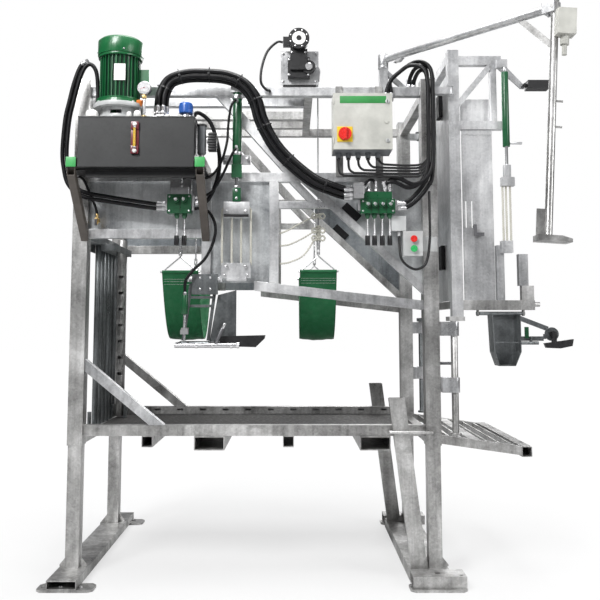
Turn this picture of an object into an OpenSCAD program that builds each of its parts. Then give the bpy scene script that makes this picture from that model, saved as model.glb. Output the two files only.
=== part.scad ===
// Hoof trimming chute for cattle: steel stall on a lifting undercarriage, with hydraulic
// power pack, hoists, hoof rests, belly bands, rear gates, control boom and controls.
// Millimetres. X runs along the stall towards the entry, Y away from the working side,
// Z up. The origin lies on the floor, centred between the four anchor holes.

/* [Main frame] */
// outer length over the corner posts
frame_l = 1970; // [1950:5:1990]
// outer width over the corner posts
frame_w = 1010; // [996:2:1024]
// side of the square corner post
post = 80; // [76:1:84]
// wall of the corner post
post_wall = 4.7; // [4.2:0.1:5.2]
// top of the corner posts above the floor
top_z = 2650; // [2640:2:2660]
// underside of the corner posts above the floor
post_foot_z = 680; // [670:2:690]
// side of the square rails and beams
rail = 50; // [46:1:54]
// wall of rails and beams
rail_wall = 3; // [2.5:0.1:4]
// height of the beam centre over the floor
beam_z = 2112; // [2106:1:2118]
// height of the short front rail centre
front_rail_z = 1803; // [1798:1:1808]
// thickness of the side sheets
sheet_t = 4; // [3:0.5:5]
// side of the small rail
small_rail = 38; // [34:1:40]
// width of the sloping edge tube
edge_tube = 40; // [36:1:44]
// thickness of the black edge blocks
pad_t = 12; // [8:1:16]

/* [Platform] */
// width of the fork pockets
pocket_w = 160; // [150:2:170]
// height of the fork pockets
pocket_h = 72; // [68:1:76]
// wall of the fork pockets
pocket_wall = 5; // [4:0.5:6]
// height of the platform rails
deck_rail_h = 56; // [52:1:60]
// top of the fork pockets above the floor
pocket_top_z = 727; // [722:1:732]
// thickness of the rubber mat
mat_t = 7; // [5:0.5:8]
// reach of the entry step from the posts
step_reach = 475; // [460:5:490]
// drop of the entry step over its reach
step_drop = 59; // [50:1:66]

/* [Undercarriage] */
// side of the inner lifting leg
leg = 70; // [66.8:0.1:70.4]
// wall of the lifting leg
leg_wall = 5; // [4.5:0.5:6]
// top of the lifting legs above the floor
leg_top_z = 1500; // [1440:10:1540]
// half length of the skids
skid_half = 705; // [700:5:720]
// width of the front skid
skid_w = 150; // [140:2:160]
// height of the skids with their feet
skid_h = 57; // [54:1:60]
// thickness of the anchor feet
foot_t = 12; // [10:1:14]
// radius of the anchor holes
anchor_r = 11; // [9:0.5:13]
// anchor hole distance along the stall
anchor_l = 2080; // [2070:5:2090]
// anchor hole distance across the stall
anchor_w = 1310; // [1300:5:1320]
// diameter of the lift piston
piston_d = 40; // [38:1:42]
// diameter of the lift rod
rod_d = 28; // [26:1:30]
// running clearance on the diameter of pistons and pins
run_clear = 0.1; // [0.06:0.02:0.16]

/* [Power pack] */
// length of the oil tank
tank_l = 589; // [570:5:596]
// depth of the oil tank
tank_w = 250; // [240:2:256]
// height of the oil tank
tank_h = 261; // [250:2:270]
// diameter of the motor flange ring
flange_d = 268; // [262:2:272]
// diameter of the finned motor body
motor_d = 210; // [200:2:216]
// diameter of the fan cowl
cowl_d = 234; // [226:2:238]

/* [Controls] */
// width of the control cabinet
cab_w = 307; // [300:1:314]
// height of the control cabinet
cab_h = 297; // [290:1:302]
// depth of the control cabinet
cab_d = 158; // [150:2:162]
// diameter of the lever knobs
knob_d = 26; // [22:1:30]
// diameter of the push buttons
button_d = 26; // [22:1:28]
// diameter of the hydraulic hoses
hose_d = 22; // [20:0.5:23]

/* [Winch and boom] */
// diameter of the winch rope
rope_d = 8; // [7:0.5:8.5]
// diameter of the bare winch drum
drum_d = 102; // [98:1:106]
// diameter of the boom tube
boom_d = 38; // [34:1:42]
// reach of the boom arm
boom_l = 1021; // [1000:5:1040]
// length of the hanging boom tube
hanger_l = 1085; // [1070:5:1100]

/* [Hoists and rests] */
// outer diameter of the front hoist cylinder
hoist_d = 50; // [46:1:52]
// outer diameter of the rear hoist cylinder
rear_hoist_d = 38; // [36:1:40]
// diameter of the hoist rods
hoist_rod_d = 20; // [18:1:22]
// diameter of the hoist ropes
tackle_d = 10; // [8:0.5:12]
// diameter of the hoof rest tubes
rest_tube_d = 30; // [26:1:32]
// thickness of the hoof rest plates
rest_plate_t = 5; // [4:0.5:6]

/* [Gates and bands] */
// side of the gate hinge post
gate_post = 60; // [58:1:62]
// top of the gates above the floor
gate_top_z = 2814; // [2804:2:2824]
// diameter of the gate hinge pipe
hinge_d = 36; // [34:1:38]
// diameter of the neck bar
neck_d = 60; // [56:1:62]
// width of the belly bands
band_w = 205; // [195:2:215]
// thickness of the belly bands
band_t = 6; // [5:0.5:8]

/* [Hidden] */
// weld gap between joined bars
g = 0.4;
fn_big = 64;
fn_small = 32;
hx = frame_l / 2;
hy = frame_w / 2;
cx = hx - post / 2;
cy = hy - post / 2;
ix = hx - post;
iy = hy - post;
yo = cy + rail / 2;
// heights
roof_top = top_z - 34;
roof_z = roof_top - rail / 2;
roof_bot = roof_top - rail;
beam_top = beam_z + rail / 2;
beam_bot = beam_z - rail / 2;
front_rail_top = front_rail_z + rail / 2;
small_z = beam_z - 151;
deck_z0 = pocket_top_z + g;
deck_z1 = deck_z0 + deck_rail_h;
floor_t = 4;
mat_z0 = deck_z0 + floor_t + g;
// post columns along the sides
col_a = -265;
col_b = 101;
// inclined side bar, centre line
inc_x0 = -6;
inc_z0 = 1521;
inc_drop = 105 / 907;
inc_a = atan(inc_drop);
function inc_top(x) = inc_z0 - (x - inc_x0) * inc_drop + rail / 2 / cos(inc_a);
// sloping edge of the triangular sheet
hyp_x0 = 636;
hyp_z0 = 1754;
hyp_k = 255 / 272;
hyp_a = atan(hyp_k);
function hyp_x(z, off = 0) = hyp_x0 - (z - hyp_z0) / hyp_k + off / sin(hyp_a);
function hyp_z(x, off = 0) = hyp_z0 - (x - hyp_x0) * hyp_k + off / cos(hyp_a);
// power pack
arm_ax = -hx + 68;
arm_bx = -267;
arm_y = -hy - 300;
arm_z = beam_z + 18;
pack_z = arm_z - 25;
tank_x = (arm_ax + arm_bx) / 2;
tank_y = -hy - 175;
tank_top = pack_z + tank_h;
motor_x = -705;
motor_y = tank_y;
flange_z = tank_top + 61;
motor_z = flange_z + 50;
cowl_z = motor_z + 236;
cowl_top = cowl_z + 88;
// control cabinet
cab_x = 566;
cab_y = -hy - 200;
cab_z = beam_top + 78;
switch_x = cab_x - 94;
switch_z = cab_z + 78;
// valve banks and levers
valve_y = -hy - 55;
lever_z = beam_z - 222;
front_levers = [-413, -373];
rear_levers = [599, 636, 677, 717];
// button box
box_x = 841;
box_z = 1742;
box_y = -hy - 60;
// winch
drum_x = 290;
drum_y = -cy + 75;
drum_z = roof_top + 94;
rope_x = drum_x + drum_d / 2 + rope_d / 2;
wind_n = 8;
wind_pitch = rope_d + 0.6;
rope_y = drum_y + wind_n / 2 * wind_pitch;
winch_hook_z = 1740;
// boom
boom_x = 705;
boom_y = -cy;
boom_z = roof_top + 158;
boom_a = -46;
boom_end = [boom_x + boom_l * cos(boom_a), boom_y + boom_l * sin(boom_a)];
// gates
gate_x = hx + 71;
gate_y = -hy - 22;
gate_post_x = hx + 100;
free_y = 80;
far_free_y = 142;
gate_low = 1355.4;
sheet_low = 1440;
return_y = -hy + 20;
// hoists
fh_x = -98;
fh_y = -hy - 35;
rope_low_z = 1628;
rope_high_z = beam_z - 232;
rh_x = hx + 374;
rh_y = return_y - 45;
rear_low_z = 1744;
rear_high_z = gate_top_z - 760;
// rests
front_rest_z = 1556;
front_rest_y = -hy - 16;
rear_rest_z = 1372;
rest_x = gate_x + 156;
lamp_x = gate_x + 418;
lamp_z = gate_top_z - 190;
// belly bands
band_far_y = iy - 20;
band_near_y = -300;
band_lip_z = 1600;
eye_z = band_lip_z + 106;
band_f_x = -430;
band_r_x = 345;
band_sag = 375;

zinc = [0.66, 0.68, 0.69];
darkz = [0.38, 0.41, 0.44];
green = [0.16, 0.42, 0.24];
black = [0.08, 0.08, 0.09];
grey = [0.45, 0.46, 0.47];

// Shared shapes

// hollow square bar along X
module bar_x(x0, x1, y, z, wy = rail, wz = rail, t = rail_wall) {
  translate([(x0 + x1) / 2, y, z]) difference() {
    cube([x1 - x0, wy, wz], center = true);
    cube([x1 - x0 + 2, wy - 2 * t, wz - 2 * t], center = true);
  }
}

// hollow square bar along Y
module bar_y(x, y0, y1, z, wx = rail, wz = rail, t = rail_wall) {
  translate([x, (y0 + y1) / 2, z]) difference() {
    cube([wx, y1 - y0, wz], center = true);
    cube([wx - 2 * t, y1 - y0 + 2, wz - 2 * t], center = true);
  }
}

// hollow square bar along Z
module bar_z(x, y, z0, z1, wx = rail, wy = rail, t = rail_wall) {
  translate([x, y, (z0 + z1) / 2]) difference() {
    cube([wx, wy, z1 - z0], center = true);
    cube([wx - 2 * t, wy - 2 * t, z1 - z0 + 2], center = true);
  }
}

// block between two corners
module block(x0, x1, y0, y1, z0, z1) {
  translate([x0, y0, z0]) cube([x1 - x0, y1 - y0, z1 - z0]);
}

// sloping hollow bar in the XZ plane between two points, ends run past by over
module slope_xz(x0, z0, x1, z1, y, w, wy, t = rail_wall, over = 0) {
  len = sqrt((x1 - x0) * (x1 - x0) + (z1 - z0) * (z1 - z0));
  translate([x0, y, z0]) rotate([0, -atan2(z1 - z0, x1 - x0), 0])
    bar_x(-over, len + over, 0, 0, wy, w, t);
}

// sloping hollow bar in the YZ plane between two points
module slope_yz(x, y0, z0, y1, z1, w, wx, t = rail_wall, over = 0) {
  len = sqrt((y1 - y0) * (y1 - y0) + (z1 - z0) * (z1 - z0));
  translate([x, y0, z0]) rotate([atan2(z1 - z0, y1 - y0), 0, 0])
    bar_y(0, -over, len + over, 0, wx, w, t);
}

// round rod or tube along Z
module rod_z(x, y, z0, z1, d, bore = 0, fn = fn_small) {
  translate([x, y, z0]) difference() {
    cylinder(h = z1 - z0, d = d, $fn = fn);
    if (bore > 0) translate([0, 0, -1]) cylinder(h = z1 - z0 + 2, d = bore, $fn = fn);
  }
}

// round rod or tube along Y
module rod_y(x, y0, y1, z, d, bore = 0, fn = fn_small) {
  translate([x, y1, z]) rotate([90, 0, 0]) rod_z(0, 0, 0, y1 - y0, d, bore, fn);
}

// round rod or tube along X
module rod_x(x0, x1, y, z, d, bore = 0, fn = fn_small) {
  translate([x0, y, z]) rotate([0, 90, 0]) rod_z(0, 0, 0, x1 - x0, d, bore, fn);
}

// round rod leaning in the XZ plane between two points
module lean_rod(x0, z0, x1, z1, y, d) {
  translate([x0, y, z0]) rotate([0, atan2(x1 - x0, z1 - z0), 0])
    cylinder(h = sqrt((x1 - x0) * (x1 - x0) + (z1 - z0) * (z1 - z0)), d = d, $fn = fn_small);
}

// flat plate in the XZ plane from an outline
module plate_xz(pts, y, t) {
  translate([0, y + t / 2, 0]) rotate([90, 0, 0]) linear_extrude(height = t) polygon(pts);
}

// flat plate in the YZ plane from an outline
module plate_yz(pts, x, t) {
  translate([x - t / 2, 0, 0]) rotate([90, 0, 90]) linear_extrude(height = t) polygon(pts);
}

// child on the working side and its mirror image on the far side
module both_sides() {
  children();
  mirror([0, 1, 0]) children();
}

// Curved tubes along a route

function dot3(a, b) = a[0] * b[0] + a[1] * b[1] + a[2] * b[2];
function unit(v) = v / norm(v);
function clampi(i, n) = max(0, min(n - 1, i));
function bend(a, b, c, d, t) = 0.5 * ((2 * b) + (c - a) * t
  + (2 * a - 5 * b + 4 * c - d) * t * t + (3 * b - a - 3 * c + d) * t * t * t);
function route(p, k) = concat([for (i = [0 : len(p) - 2]) for (j = [0 : k - 1])
  bend(p[clampi(i - 1, len(p))], p[i], p[i + 1], p[clampi(i + 2, len(p))], j / k)],
  [p[len(p) - 1]]);
function tangents(c) = [for (i = [0 : len(c) - 1])
  unit(c[clampi(i + 1, len(c))] - c[clampi(i - 1, len(c))])];
function side_of(t, s) = unit(s - t * dot3(s, t));
function sides(t, i, s) = i == len(t) ? [] : concat([side_of(t[i], s)],
  sides(t, i + 1, side_of(t[i], s)));

// tube of diameter d through the ring centres c
module tube_along(c, d, n = 8, s0 = [0, 1, 0.01]) {
  t = tangents(c);
  u = sides(t, 0, s0);
  m = len(c);
  pts = [for (i = [0 : m - 1]) for (k = [0 : n - 1])
    c[i] + d / 2 * (cos(360 * k / n) * u[i] + sin(360 * k / n) * cross(t[i], u[i]))];
  quads = [for (i = [0 : m - 2]) for (k = [0 : n - 1]) for (h = [0, 1])
    h == 0 ? [i * n + k, (i + 1) * n + k, i * n + (k + 1) % n]
    : [i * n + (k + 1) % n, (i + 1) * n + k, (i + 1) * n + (k + 1) % n]];
  polyhedron(points = pts, faces = concat(
    [[for (k = [0 : n - 1]) k]], quads, [[for (k = [n - 1 : -1 : 0]) (m - 1) * n + k]]));
}

// route shifted sideways in the XZ plane by a and outwards by b
function turn2(v) = unit([-v[2], 0, v[0]]);
function shifted(p, a, b) = [for (i = [0 : len(p) - 1]) p[i] + [0, b, 0]
  + a * turn2(p[clampi(i + 1, len(p))] - p[clampi(i - 1, len(p))])];

// Undercarriage

module foot_plate(s, yside) {
  c = 22;
  x0 = s * (anchor_l / 2 + 27);
  x1 = s * (anchor_l / 2 - 255);
  y0 = yside * skid_half;
  y1 = yside * (anchor_w / 2 - 60);
  difference() {
    linear_extrude(height = foot_t) polygon([[x0, y1 + yside * c], [x0 - s * c, y1],
      [x1 + s * c, y1], [x1, y1 + yside * c], [x1, y0 - yside * c], [x1 + s * c, y0],
      [x0 - s * c, y0], [x0, y0 - yside * c]]);
    translate([s * anchor_l / 2, yside * anchor_w / 2, -1])
      cylinder(h = foot_t + 2, r = anchor_r, $fn = fn_small);
  }
}

// skid end block of the entry side, drilled for the anchor and the adjusting bolt
module end_block() {
  x1 = anchor_l / 2 + 27;
  difference() {
    bar_x(x1 - 267, x1, -anchor_w / 2 + 35, foot_t + g + skid_h / 2, 120, skid_h, 6);
    translate([anchor_l / 2, -anchor_w / 2, foot_t - 1])
      cylinder(h = skid_h + 4, r = anchor_r, $fn = fn_small);
    translate([cx - 14, -anchor_w / 2 + 35, foot_t - 1])
      cylinder(h = skid_h + 4, r = 15, $fn = fn_small);
  }
}

module skids() {
  color(zinc) {
    for (s = [-1, 1]) for (q = [-1, 1]) foot_plate(s, q);
    bar_y(-cx + 7, -skid_half, skid_half, (foot_t + g + skid_h) / 2, skid_w,
      skid_h - foot_t - g, 5);
    both_sides() end_block();
    bar_y(cx - 38, -anchor_w / 2 + 95 + g, anchor_w / 2 - 95 - g, skid_h / 2, 205, skid_h, 5);
    for (s = [-1, 1]) for (q = [-1, 1]) {
      bar_z(s * cx, q * cy, skid_h + g, leg_top_z, leg, leg, leg_wall);
      for (e = [-1, 1]) plate_xz([[s * cx + e * (leg / 2 + g), skid_h + g],
        [s * cx + e * (leg / 2 + 36), skid_h + g], [s * cx + e * (leg / 2 + 36), skid_h + 8],
        [s * cx + e * (leg / 2 + g), skid_h + 52]], q * cy, 8);
    }
    both_sides() intersection() {
      slope_xz(856, skid_h, 748, 929, -yo - 26, 83, 38, 4, 20);
      block(500, 1100, -hy - 100, -hy + 100, skid_h + g, 929);
    }
  }
}

module lift_barrels() {
  color(grey) for (s = [-1, 1]) for (q = [-1, 1]) translate([s * cx, q * cy, 0]) {
    difference() {
      union() {
        translate([0, 0, skid_h + 11]) cube([leg - 2 * leg_wall - 1, leg - 2 * leg_wall - 1, 20],
          center = true);
        cylinder(h = 900, d = piston_d + 9, $fn = fn_small);
      }
      translate([0, 0, -1]) cylinder(h = skid_h + 2, d = piston_d + 20, $fn = fn_small);
      translate([0, 0, skid_h + 22]) cylinder(h = 858 - skid_h, d = piston_d, $fn = fn_small);
      translate([0, 0, 870]) cylinder(h = 40, d = rod_d + run_clear, $fn = fn_small);
    }
  }
}

// Main frame

// hinge lug with a round end around the gate axis
module gate_lug(z0, z1, d) {
  difference() {
    union() {
      block(hx - 40, gate_x, gate_y - 20, -hy - 2.4, z0, z1);
      rod_z(gate_x, gate_y, z0, z1, 40);
      block(hx - 40, hx - 2, -hy - 2.6, -hy - g, z0, z1);
    }
    translate([gate_x, gate_y, z0 - 1]) cylinder(h = z1 - z0 + 2, d = d, $fn = fn_small);
  }
}

// wide hinge lug of the lower hinge pipe
module wide_lug(z0, z1) {
  difference() {
    union() {
      block(hx + g, gate_x, gate_y - 26, gate_y + 26, z0, z1);
      rod_z(gate_x, gate_y, z0, z1, 52);
      block(hx + g, hx + 30, gate_y + 20, gate_y + 60, z0, z1);
    }
    translate([gate_x, gate_y, z0 - 1])
      cylinder(h = z1 - z0 + 2, d = hinge_d + run_clear, $fn = fn_small);
  }
}

module corner_posts() {
  color(zinc) {
    for (s = [-1, 1]) for (q = [-1, 1]) {
      bar_z(s * cx, q * cy, post_foot_z, top_z, post, post, post_wall);
      translate([s * cx, q * cy, top_z + g + 3]) cube([post, post, 6], center = true);
    }
    both_sides() {
      gate_lug(roof_top - 56, roof_top - 16, 20 + run_clear);
      wide_lug(1254, 1328);
      wide_lug(958, 1036);
    }
  }
}

module side_rails() {
  color(zinc) both_sides() {
    bar_x(-ix + g, ix - g, -cy, roof_z);
    bar_x(-ix + g, ix - g, -cy, beam_z);
    bar_x(-ix + g, col_a - rail / 2 - g, -cy, front_rail_z);
    bar_z(col_a, -cy, 1535, beam_bot - g);
    difference() {
      bar_z(col_b, -cy, 1500, beam_bot - g);
      translate([inc_x0, -cy, inc_z0]) rotate([0, inc_a, 0])
        translate([-300, -60, -300]) cube([1300, 120, 300 + rail / 2 + g]);
    }
    intersection() {
      slope_xz(inc_x0, inc_z0, ix, inc_z0 - (ix - inc_x0) * inc_drop, -cy, rail, rail,
        rail_wall, 20);
      block(inc_x0, ix - g, -hy, -hy + 200, 1200, 1700);
    }
    intersection() {
      bar_x(col_b + rail / 2 + g, 520, -cy, small_z, small_rail, small_rail);
      plate_xz([[0, small_z - 100], [hyp_x(small_z - 100, -edge_tube / 2 - g), small_z - 100],
        [hyp_x(small_z + 100, -edge_tube / 2 - g), small_z + 100], [0, small_z + 100]],
        -cy, 100);
    }
  }
}

// sloping tube clipped between two heights
module clip_slope(x0, z0, x1, z1, w, zlow, zhigh, xlow = -2000, xhigh = 2000) {
  intersection() {
    slope_xz(x0, z0, x1, z1, -cy, w, w, rail_wall, 120);
    block(xlow, xhigh, -hy, -hy + 200, zlow, zhigh);
  }
}

module roof_and_braces() {
  color(zinc) {
    for (s = [-1, 1]) bar_y(s * cx, -iy + g, iy - g, roof_z);
    bar_y(drum_x, -cy + rail / 2 + g, cy - rail / 2 - g, roof_z, 46);
    for (y = [-258, 36, 246]) bar_x(-cx + rail / 2 + g, drum_x - 23 - g, y, roof_z);
    both_sides() {
      clip_slope(-190, roof_bot, 190, beam_top, rail, beam_top + g, roof_bot - g);
      clip_slope(210, beam_bot, 310, beam_bot - 106, 40, small_z + small_rail / 2 + g,
        beam_bot - g);
      clip_slope(hyp_x(beam_bot), beam_bot, ix, hyp_z(ix), edge_tube, 1300, beam_bot - g,
        0, ix - g);
      clip_slope(-ix, 1098, -517, deck_z1, rail, deck_z1 + g, 1300, -ix + g);
    }
    // boom foot on the near top rail
    bar_z(boom_x, boom_y, roof_top + g, boom_z - 56, 46, 46, 4);
    block(boom_x - 23, boom_x + 23, boom_y - 23, boom_y + 23, boom_z - 56 + g, boom_z - 49);
    rod_z(boom_x, boom_y, boom_z - 50, boom_z - 35.3, 56);
    intersection() {
      slope_xz(boom_x + 23 + g, roof_top + 80, boom_x + 110, roof_top, boom_y, 24, 30, 3, 40);
      block(boom_x + 23 + g, boom_x + 200, boom_y - 60, boom_y + 60, roof_top + g, boom_z);
    }
    rod_z(boom_x, boom_y, boom_z - 40, boom_z + 34, 40 - run_clear);
  }
}

// triangular sheet above the sloping edge
module triangle_sheet() {
  o = edge_tube / 2 + g;
  plate_xz([[hyp_x(beam_bot - g, o), beam_bot - g], [ix - g, beam_bot - g],
    [ix - g, hyp_z(ix - g, o)]], -cy, sheet_t);
}

module side_sheets() {
  color(zinc) {
    both_sides() {
      plate_xz([[-ix + g, front_rail_top + g], [col_a - rail / 2 - g, front_rail_top + g],
        [col_a - rail / 2 - g, beam_bot - g], [-ix + g, beam_bot - g]], -cy, sheet_t);
      plate_xz([[col_a + rail / 2 + g, 1537], [inc_x0 - g, 1537],
        [inc_x0 - g, inc_top(inc_x0) + g], [col_b - rail / 2 - g,
        inc_top(col_b - rail / 2) + g], [col_b - rail / 2 - g, beam_bot - g],
        [col_a + rail / 2 + g, beam_bot - g]], -cy, sheet_t);
      triangle_sheet();
    }
  }
}

// black blocks bolted to both faces of the triangular sheets, along the sloping edge
module rubber_pads() {
  color(black) both_sides() for (s = [-1, 1])
    translate([523, -cy + s * (sheet_t / 2 + g + pad_t / 2), hyp_z(523, 46)])
      rotate([0, hyp_a, 0]) cube([110, pad_t, 44], center = true);
}

// Platform

module platform_frame() {
  color(zinc) {
    difference() {
      both_sides() bar_x(-ix + g, ix - g, -cy, deck_z0 + deck_rail_h / 2, rail, deck_rail_h);
      for (i = [0 : 11]) block(-835 + i * 146, -795 + i * 146, cy - 30, cy - 15,
        deck_z1 - 24, deck_z1 - 12);
    }
    for (x = [-237, 637]) bar_y(x, -hy, hy, pocket_top_z - pocket_h / 2, pocket_w, pocket_h,
      pocket_wall);
    bar_y(-566, -yo, yo, pocket_top_z - 29, 58, 58, 4);
    for (s = [-1, 1]) bar_y(s * cx, -iy + g, iy - g, pocket_top_z - rail / 2);
    for (x = [180]) bar_y(x, -yo, yo, pocket_top_z - 29, 58, 58, 4);
    union() {
      block(-ix + g, ix - g, -cy + rail / 2 + g, cy - rail / 2 - g, deck_z0, deck_z0 + floor_t);
      block(-cx + 26, cx - 26, -iy + g, iy - g, deck_z0, deck_z0 + floor_t);
    }
    both_sides() {
      // round bar guide around the sloping strut
      rod_y(714, -yo - 61, -yo - g, deck_z0 + 26, 16);
      rod_x(706, cx - 12, -yo - 61, deck_z0 + 26, 16);
      rod_y(cx - 20, -yo - 61, -hy - g, deck_z0 + 26, 16);
    }
  }
}

module floor_mat() {
  color(black) block(-ix + 4, ix - 4, -cy + rail / 2 + 4, cy - rail / 2 - 4, mat_z0,
    mat_z0 + mat_t);
}

function step_top(x) = deck_z1 - 49 - (x - hx) * step_drop / (step_reach - 55);

module entry_step() {
  x1 = hx + step_reach - 54;
  color(zinc) {
    both_sides() intersection() {
      slope_xz(hx, step_top(hx) - 23, x1, step_top(x1) - 23, -hy + 20, 45, 40, 3, 30);
      block(hx + g, x1 - g, -hy, -hy + 60, 500, 800);
    }
    bar_y(x1 + 27, -hy, hy, step_top(x1) - 27, 54, 54, 4);
    for (i = [0 : 5]) translate([hx + 40 + i * 70, 0, step_top(hx + 40 + i * 70) - 18])
      cube([10, 2 * (hy - 40 - g), 30], center = true);
    translate([hx + 185, 0, step_top(hx + 185) - 5]) cube([56, 2 * (hy - 40 - g), 6],
      center = true);
  }
}

// Head end

module head_gate_frame() {
  z0 = pocket_top_z;
  zt = front_rail_z;
  color(darkz) {
    bar_y(-cx, -iy + g, iy - g, zt);
    for (y = [-90, 0, 90, 180, 270, 352]) rod_z(-cx, y, z0 + g, zt - rail / 2 - g, 34);
    // slotted top bracket and low bracket with its pin
    difference() {
      block(-cx - 29, -cx - 25 - g, -300, -60, zt - 70, zt + 55);
      block(-cx - 40, -cx, -255, -225, zt - 45, zt + 30);
    }
    block(-cx - 30, -cx + 24, -290, -130, z0 + g, z0 + 12);
    rod_z(-cx, -210, z0 + 12 + g, z0 + 95, 22);
    // guide rails on both sides of the neck bar top
    for (s = [-1, 1]) translate([-hx + 110 + s * (neck_d / 2 + 7), 90, zt - 40])
      cube([8, 460, 40], center = true);
    for (y = [-133, 313]) translate([-cx + 53.5, y, zt - 40]) cube([56, 12, 36], center = true);
    for (y = [-133, 313]) translate([-hx + 110, y, zt - 40]) cube([neck_d + 5, 12, 38],
      center = true);
    // foot of the neck bar
    for (s = [-1, 1]) translate([-hx + 110 + s * (neck_d / 2 + 9), 240, mat_z0 + mat_t + 40])
      difference() {
        cube([10, 70, 79.2], center = true);
        rotate([0, 90, 0]) cylinder(h = 30, d = 24 + run_clear, center = true, $fn = fn_small);
      }
  }
}

module neck_bar() {
  z0 = mat_z0 + mat_t + 40;
  x = -hx + 110;
  color(grey) {
    difference() {
      rod_z(x, 240, z0 - 30, front_rail_z + 37, neck_d, neck_d - 10);
      for (i = [0 : 7]) block(x - 40, x + 40, 240 - 40, 240 - neck_d / 2 + 8, 900 + i * 100,
        918 + i * 100);
      translate([x, 240, z0]) rotate([0, 90, 0]) cylinder(h = 90, d = 24, center = true,
        $fn = fn_small);
    }
    translate([x, 240, z0]) rotate([0, 90, 0]) cylinder(h = neck_d + 26, d = 24, center = true,
      $fn = fn_small);
  }
}

module lift_rods() {
  color([0.8, 0.81, 0.83]) for (s = [-1, 1]) for (q = [-1, 1]) {
    rod_z(s * cx, q * cy, 780, top_z - 10, rod_d);
    rod_z(s * cx, q * cy, 760, 800, piston_d - run_clear);
    translate([s * cx, q * cy, top_z - 6 - g]) cube([post - 2 * post_wall - 1,
      post - 2 * post_wall - 1, 12], center = true);
  }
}

// Power pack

module pack_bracket() {
  color(zinc) {
    bar_y(arm_ax, arm_y, -hy - g, arm_z);
    bar_y(arm_bx, arm_y, -yo - g, arm_z);
    for (x = [arm_ax, arm_bx]) translate([x, arm_y - 2 - g, arm_z]) cube([rail + 2, 4, rail + 2],
      center = true);
    for (i = [0, 1]) intersection() {
      slope_yz(i == 0 ? arm_ax : arm_bx, arm_y, pack_z - 16, i == 0 ? -hy : -yo, 1787, 40, 40,
        3, 40);
      block(-1000, 0, arm_y, i == 0 ? -hy - g : -yo - g, 1700, pack_z - g);
    }
    block(arm_ax - 25, arm_bx + 25, tank_y - 75, tank_y + tank_w / 2 + 7, pack_z - 7,
      pack_z - g);
    block(arm_ax + 60, arm_bx - 30, tank_y - 75, tank_y - 69, pack_z - 46, pack_z - 7 - g);
  }
}

module oil_tank() {
  color([0.2, 0.21, 0.22]) translate([tank_x, tank_y, pack_z]) {
    difference() {
      translate([0, 0, (tank_h - 6) / 2]) cube([tank_l, tank_w, tank_h - 6], center = true);
      translate([0, 0, tank_h / 2 + 4]) cube([tank_l - 6, tank_w - 6, tank_h], center = true);
    }
    difference() {
      translate([0, 0, tank_h - 3]) cube([tank_l + 4, tank_w + 4, 6 - g], center = true);
      translate([motor_x - tank_x, motor_y - tank_y, tank_h - 20])
        cylinder(h = 40, d = 150, $fn = fn_big);
      translate([-360 - tank_x, 20, tank_h - 20]) cylinder(h = 40, d = 44, $fn = fn_small);
    }
  }
}

module tank_fittings() {
  fy = tank_y - tank_w / 2;
  // level gauge on the tank front
  color([0.45, 0.1, 0.12]) translate([-596, fy - g, pack_z]) {
    translate([0, -6, 148]) cube([40, 12, 165], center = true);
    for (z = [80, 216]) rod_y(0, -20, -12, z, 22);
    rod_z(0, -17, 93, 203, 14);
  }
  // pressure gauge on its stub
  color([0.6, 0.6, 0.62]) {
    rod_y(-562, tank_y - 96, tank_y - 60, tank_top + 158, 72, 0, fn_big);
    rod_z(-562, tank_y - 78, tank_top + g, tank_top + 124, 14);
    rod_z(-562, tank_y - 78, tank_top + g, tank_top + 14, 26);
    block(-542, -438, tank_y - 20, tank_y + 44, tank_top + g, tank_top + 30);
    for (o = bundle) rod_z(main_run[0][0] - o[0], main_run[0][1] + o[1], tank_top + 29,
      tank_top + 42.4, 20);
    for (x = [-840, -330]) rod_z(x, tank_y + 85, tank_top + g, tank_top + 28.4, 26);
  }
  // breather cap
  color([0.1, 0.28, 0.6]) {
    rod_z(-360, tank_y + 20, tank_top - 30, tank_top + 50, 42);
    rod_z(-360, tank_y + 20, tank_top + 50, tank_top + 109, 74, 0, fn_big);
  }
  // return filter beside the tank and plugs on the lid
  color(grey) {
    rod_z(arm_bx - 3, tank_y - 20, pack_z + 82, pack_z + 231, 46, 0, fn_big);
    rod_z(arm_bx - 3, tank_y - 20, pack_z + 231, pack_z + 245, 52, 0, fn_big);
    rod_z(arm_bx - 3, tank_y - 20, pack_z + 50 + g, pack_z + 82, 26);
    for (x = [-850, -480, -440]) rod_z(x, tank_y - 90, tank_top + g, tank_top + 16, 26);
  }
}

module pump_unit() {
  color(grey) {
    // bell housing between tank lid and motor flange
    difference() {
      union() {
        rod_z(motor_x, motor_y, tank_top + g, tank_top + 14, 230, 0, fn_big);
        rod_z(motor_x, motor_y, tank_top + 13, flange_z - g, 190, 0, fn_big);
      }
      translate([motor_x, motor_y, tank_top - 1]) cylinder(h = 70, d = 148, $fn = fn_big);
      for (a = [0, 90]) translate([motor_x, motor_y, tank_top + 36]) rotate([0, 0, a])
        cube([60, 300, 22], center = true);
    }
    // gear pump hanging in the oil with its suction strainer
    rod_z(motor_x, motor_y, tank_top - 20, tank_top + 12, 146, 0, fn_big);
    translate([motor_x, motor_y, tank_top - 85]) cube([104, 90, 131], center = true);
    rod_z(motor_x + 70, motor_y, tank_top - 206, tank_top - 60, 26);
    translate([motor_x + 54, motor_y, tank_top - 70]) cube([30, 24, 24], center = true);
    rod_z(motor_x + 70, motor_y, tank_top - 240, tank_top - 206, 60, 0, fn_big);
    rod_z(motor_x, motor_y, tank_top + 11, flange_z - 24, 24);
  }
}

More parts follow.
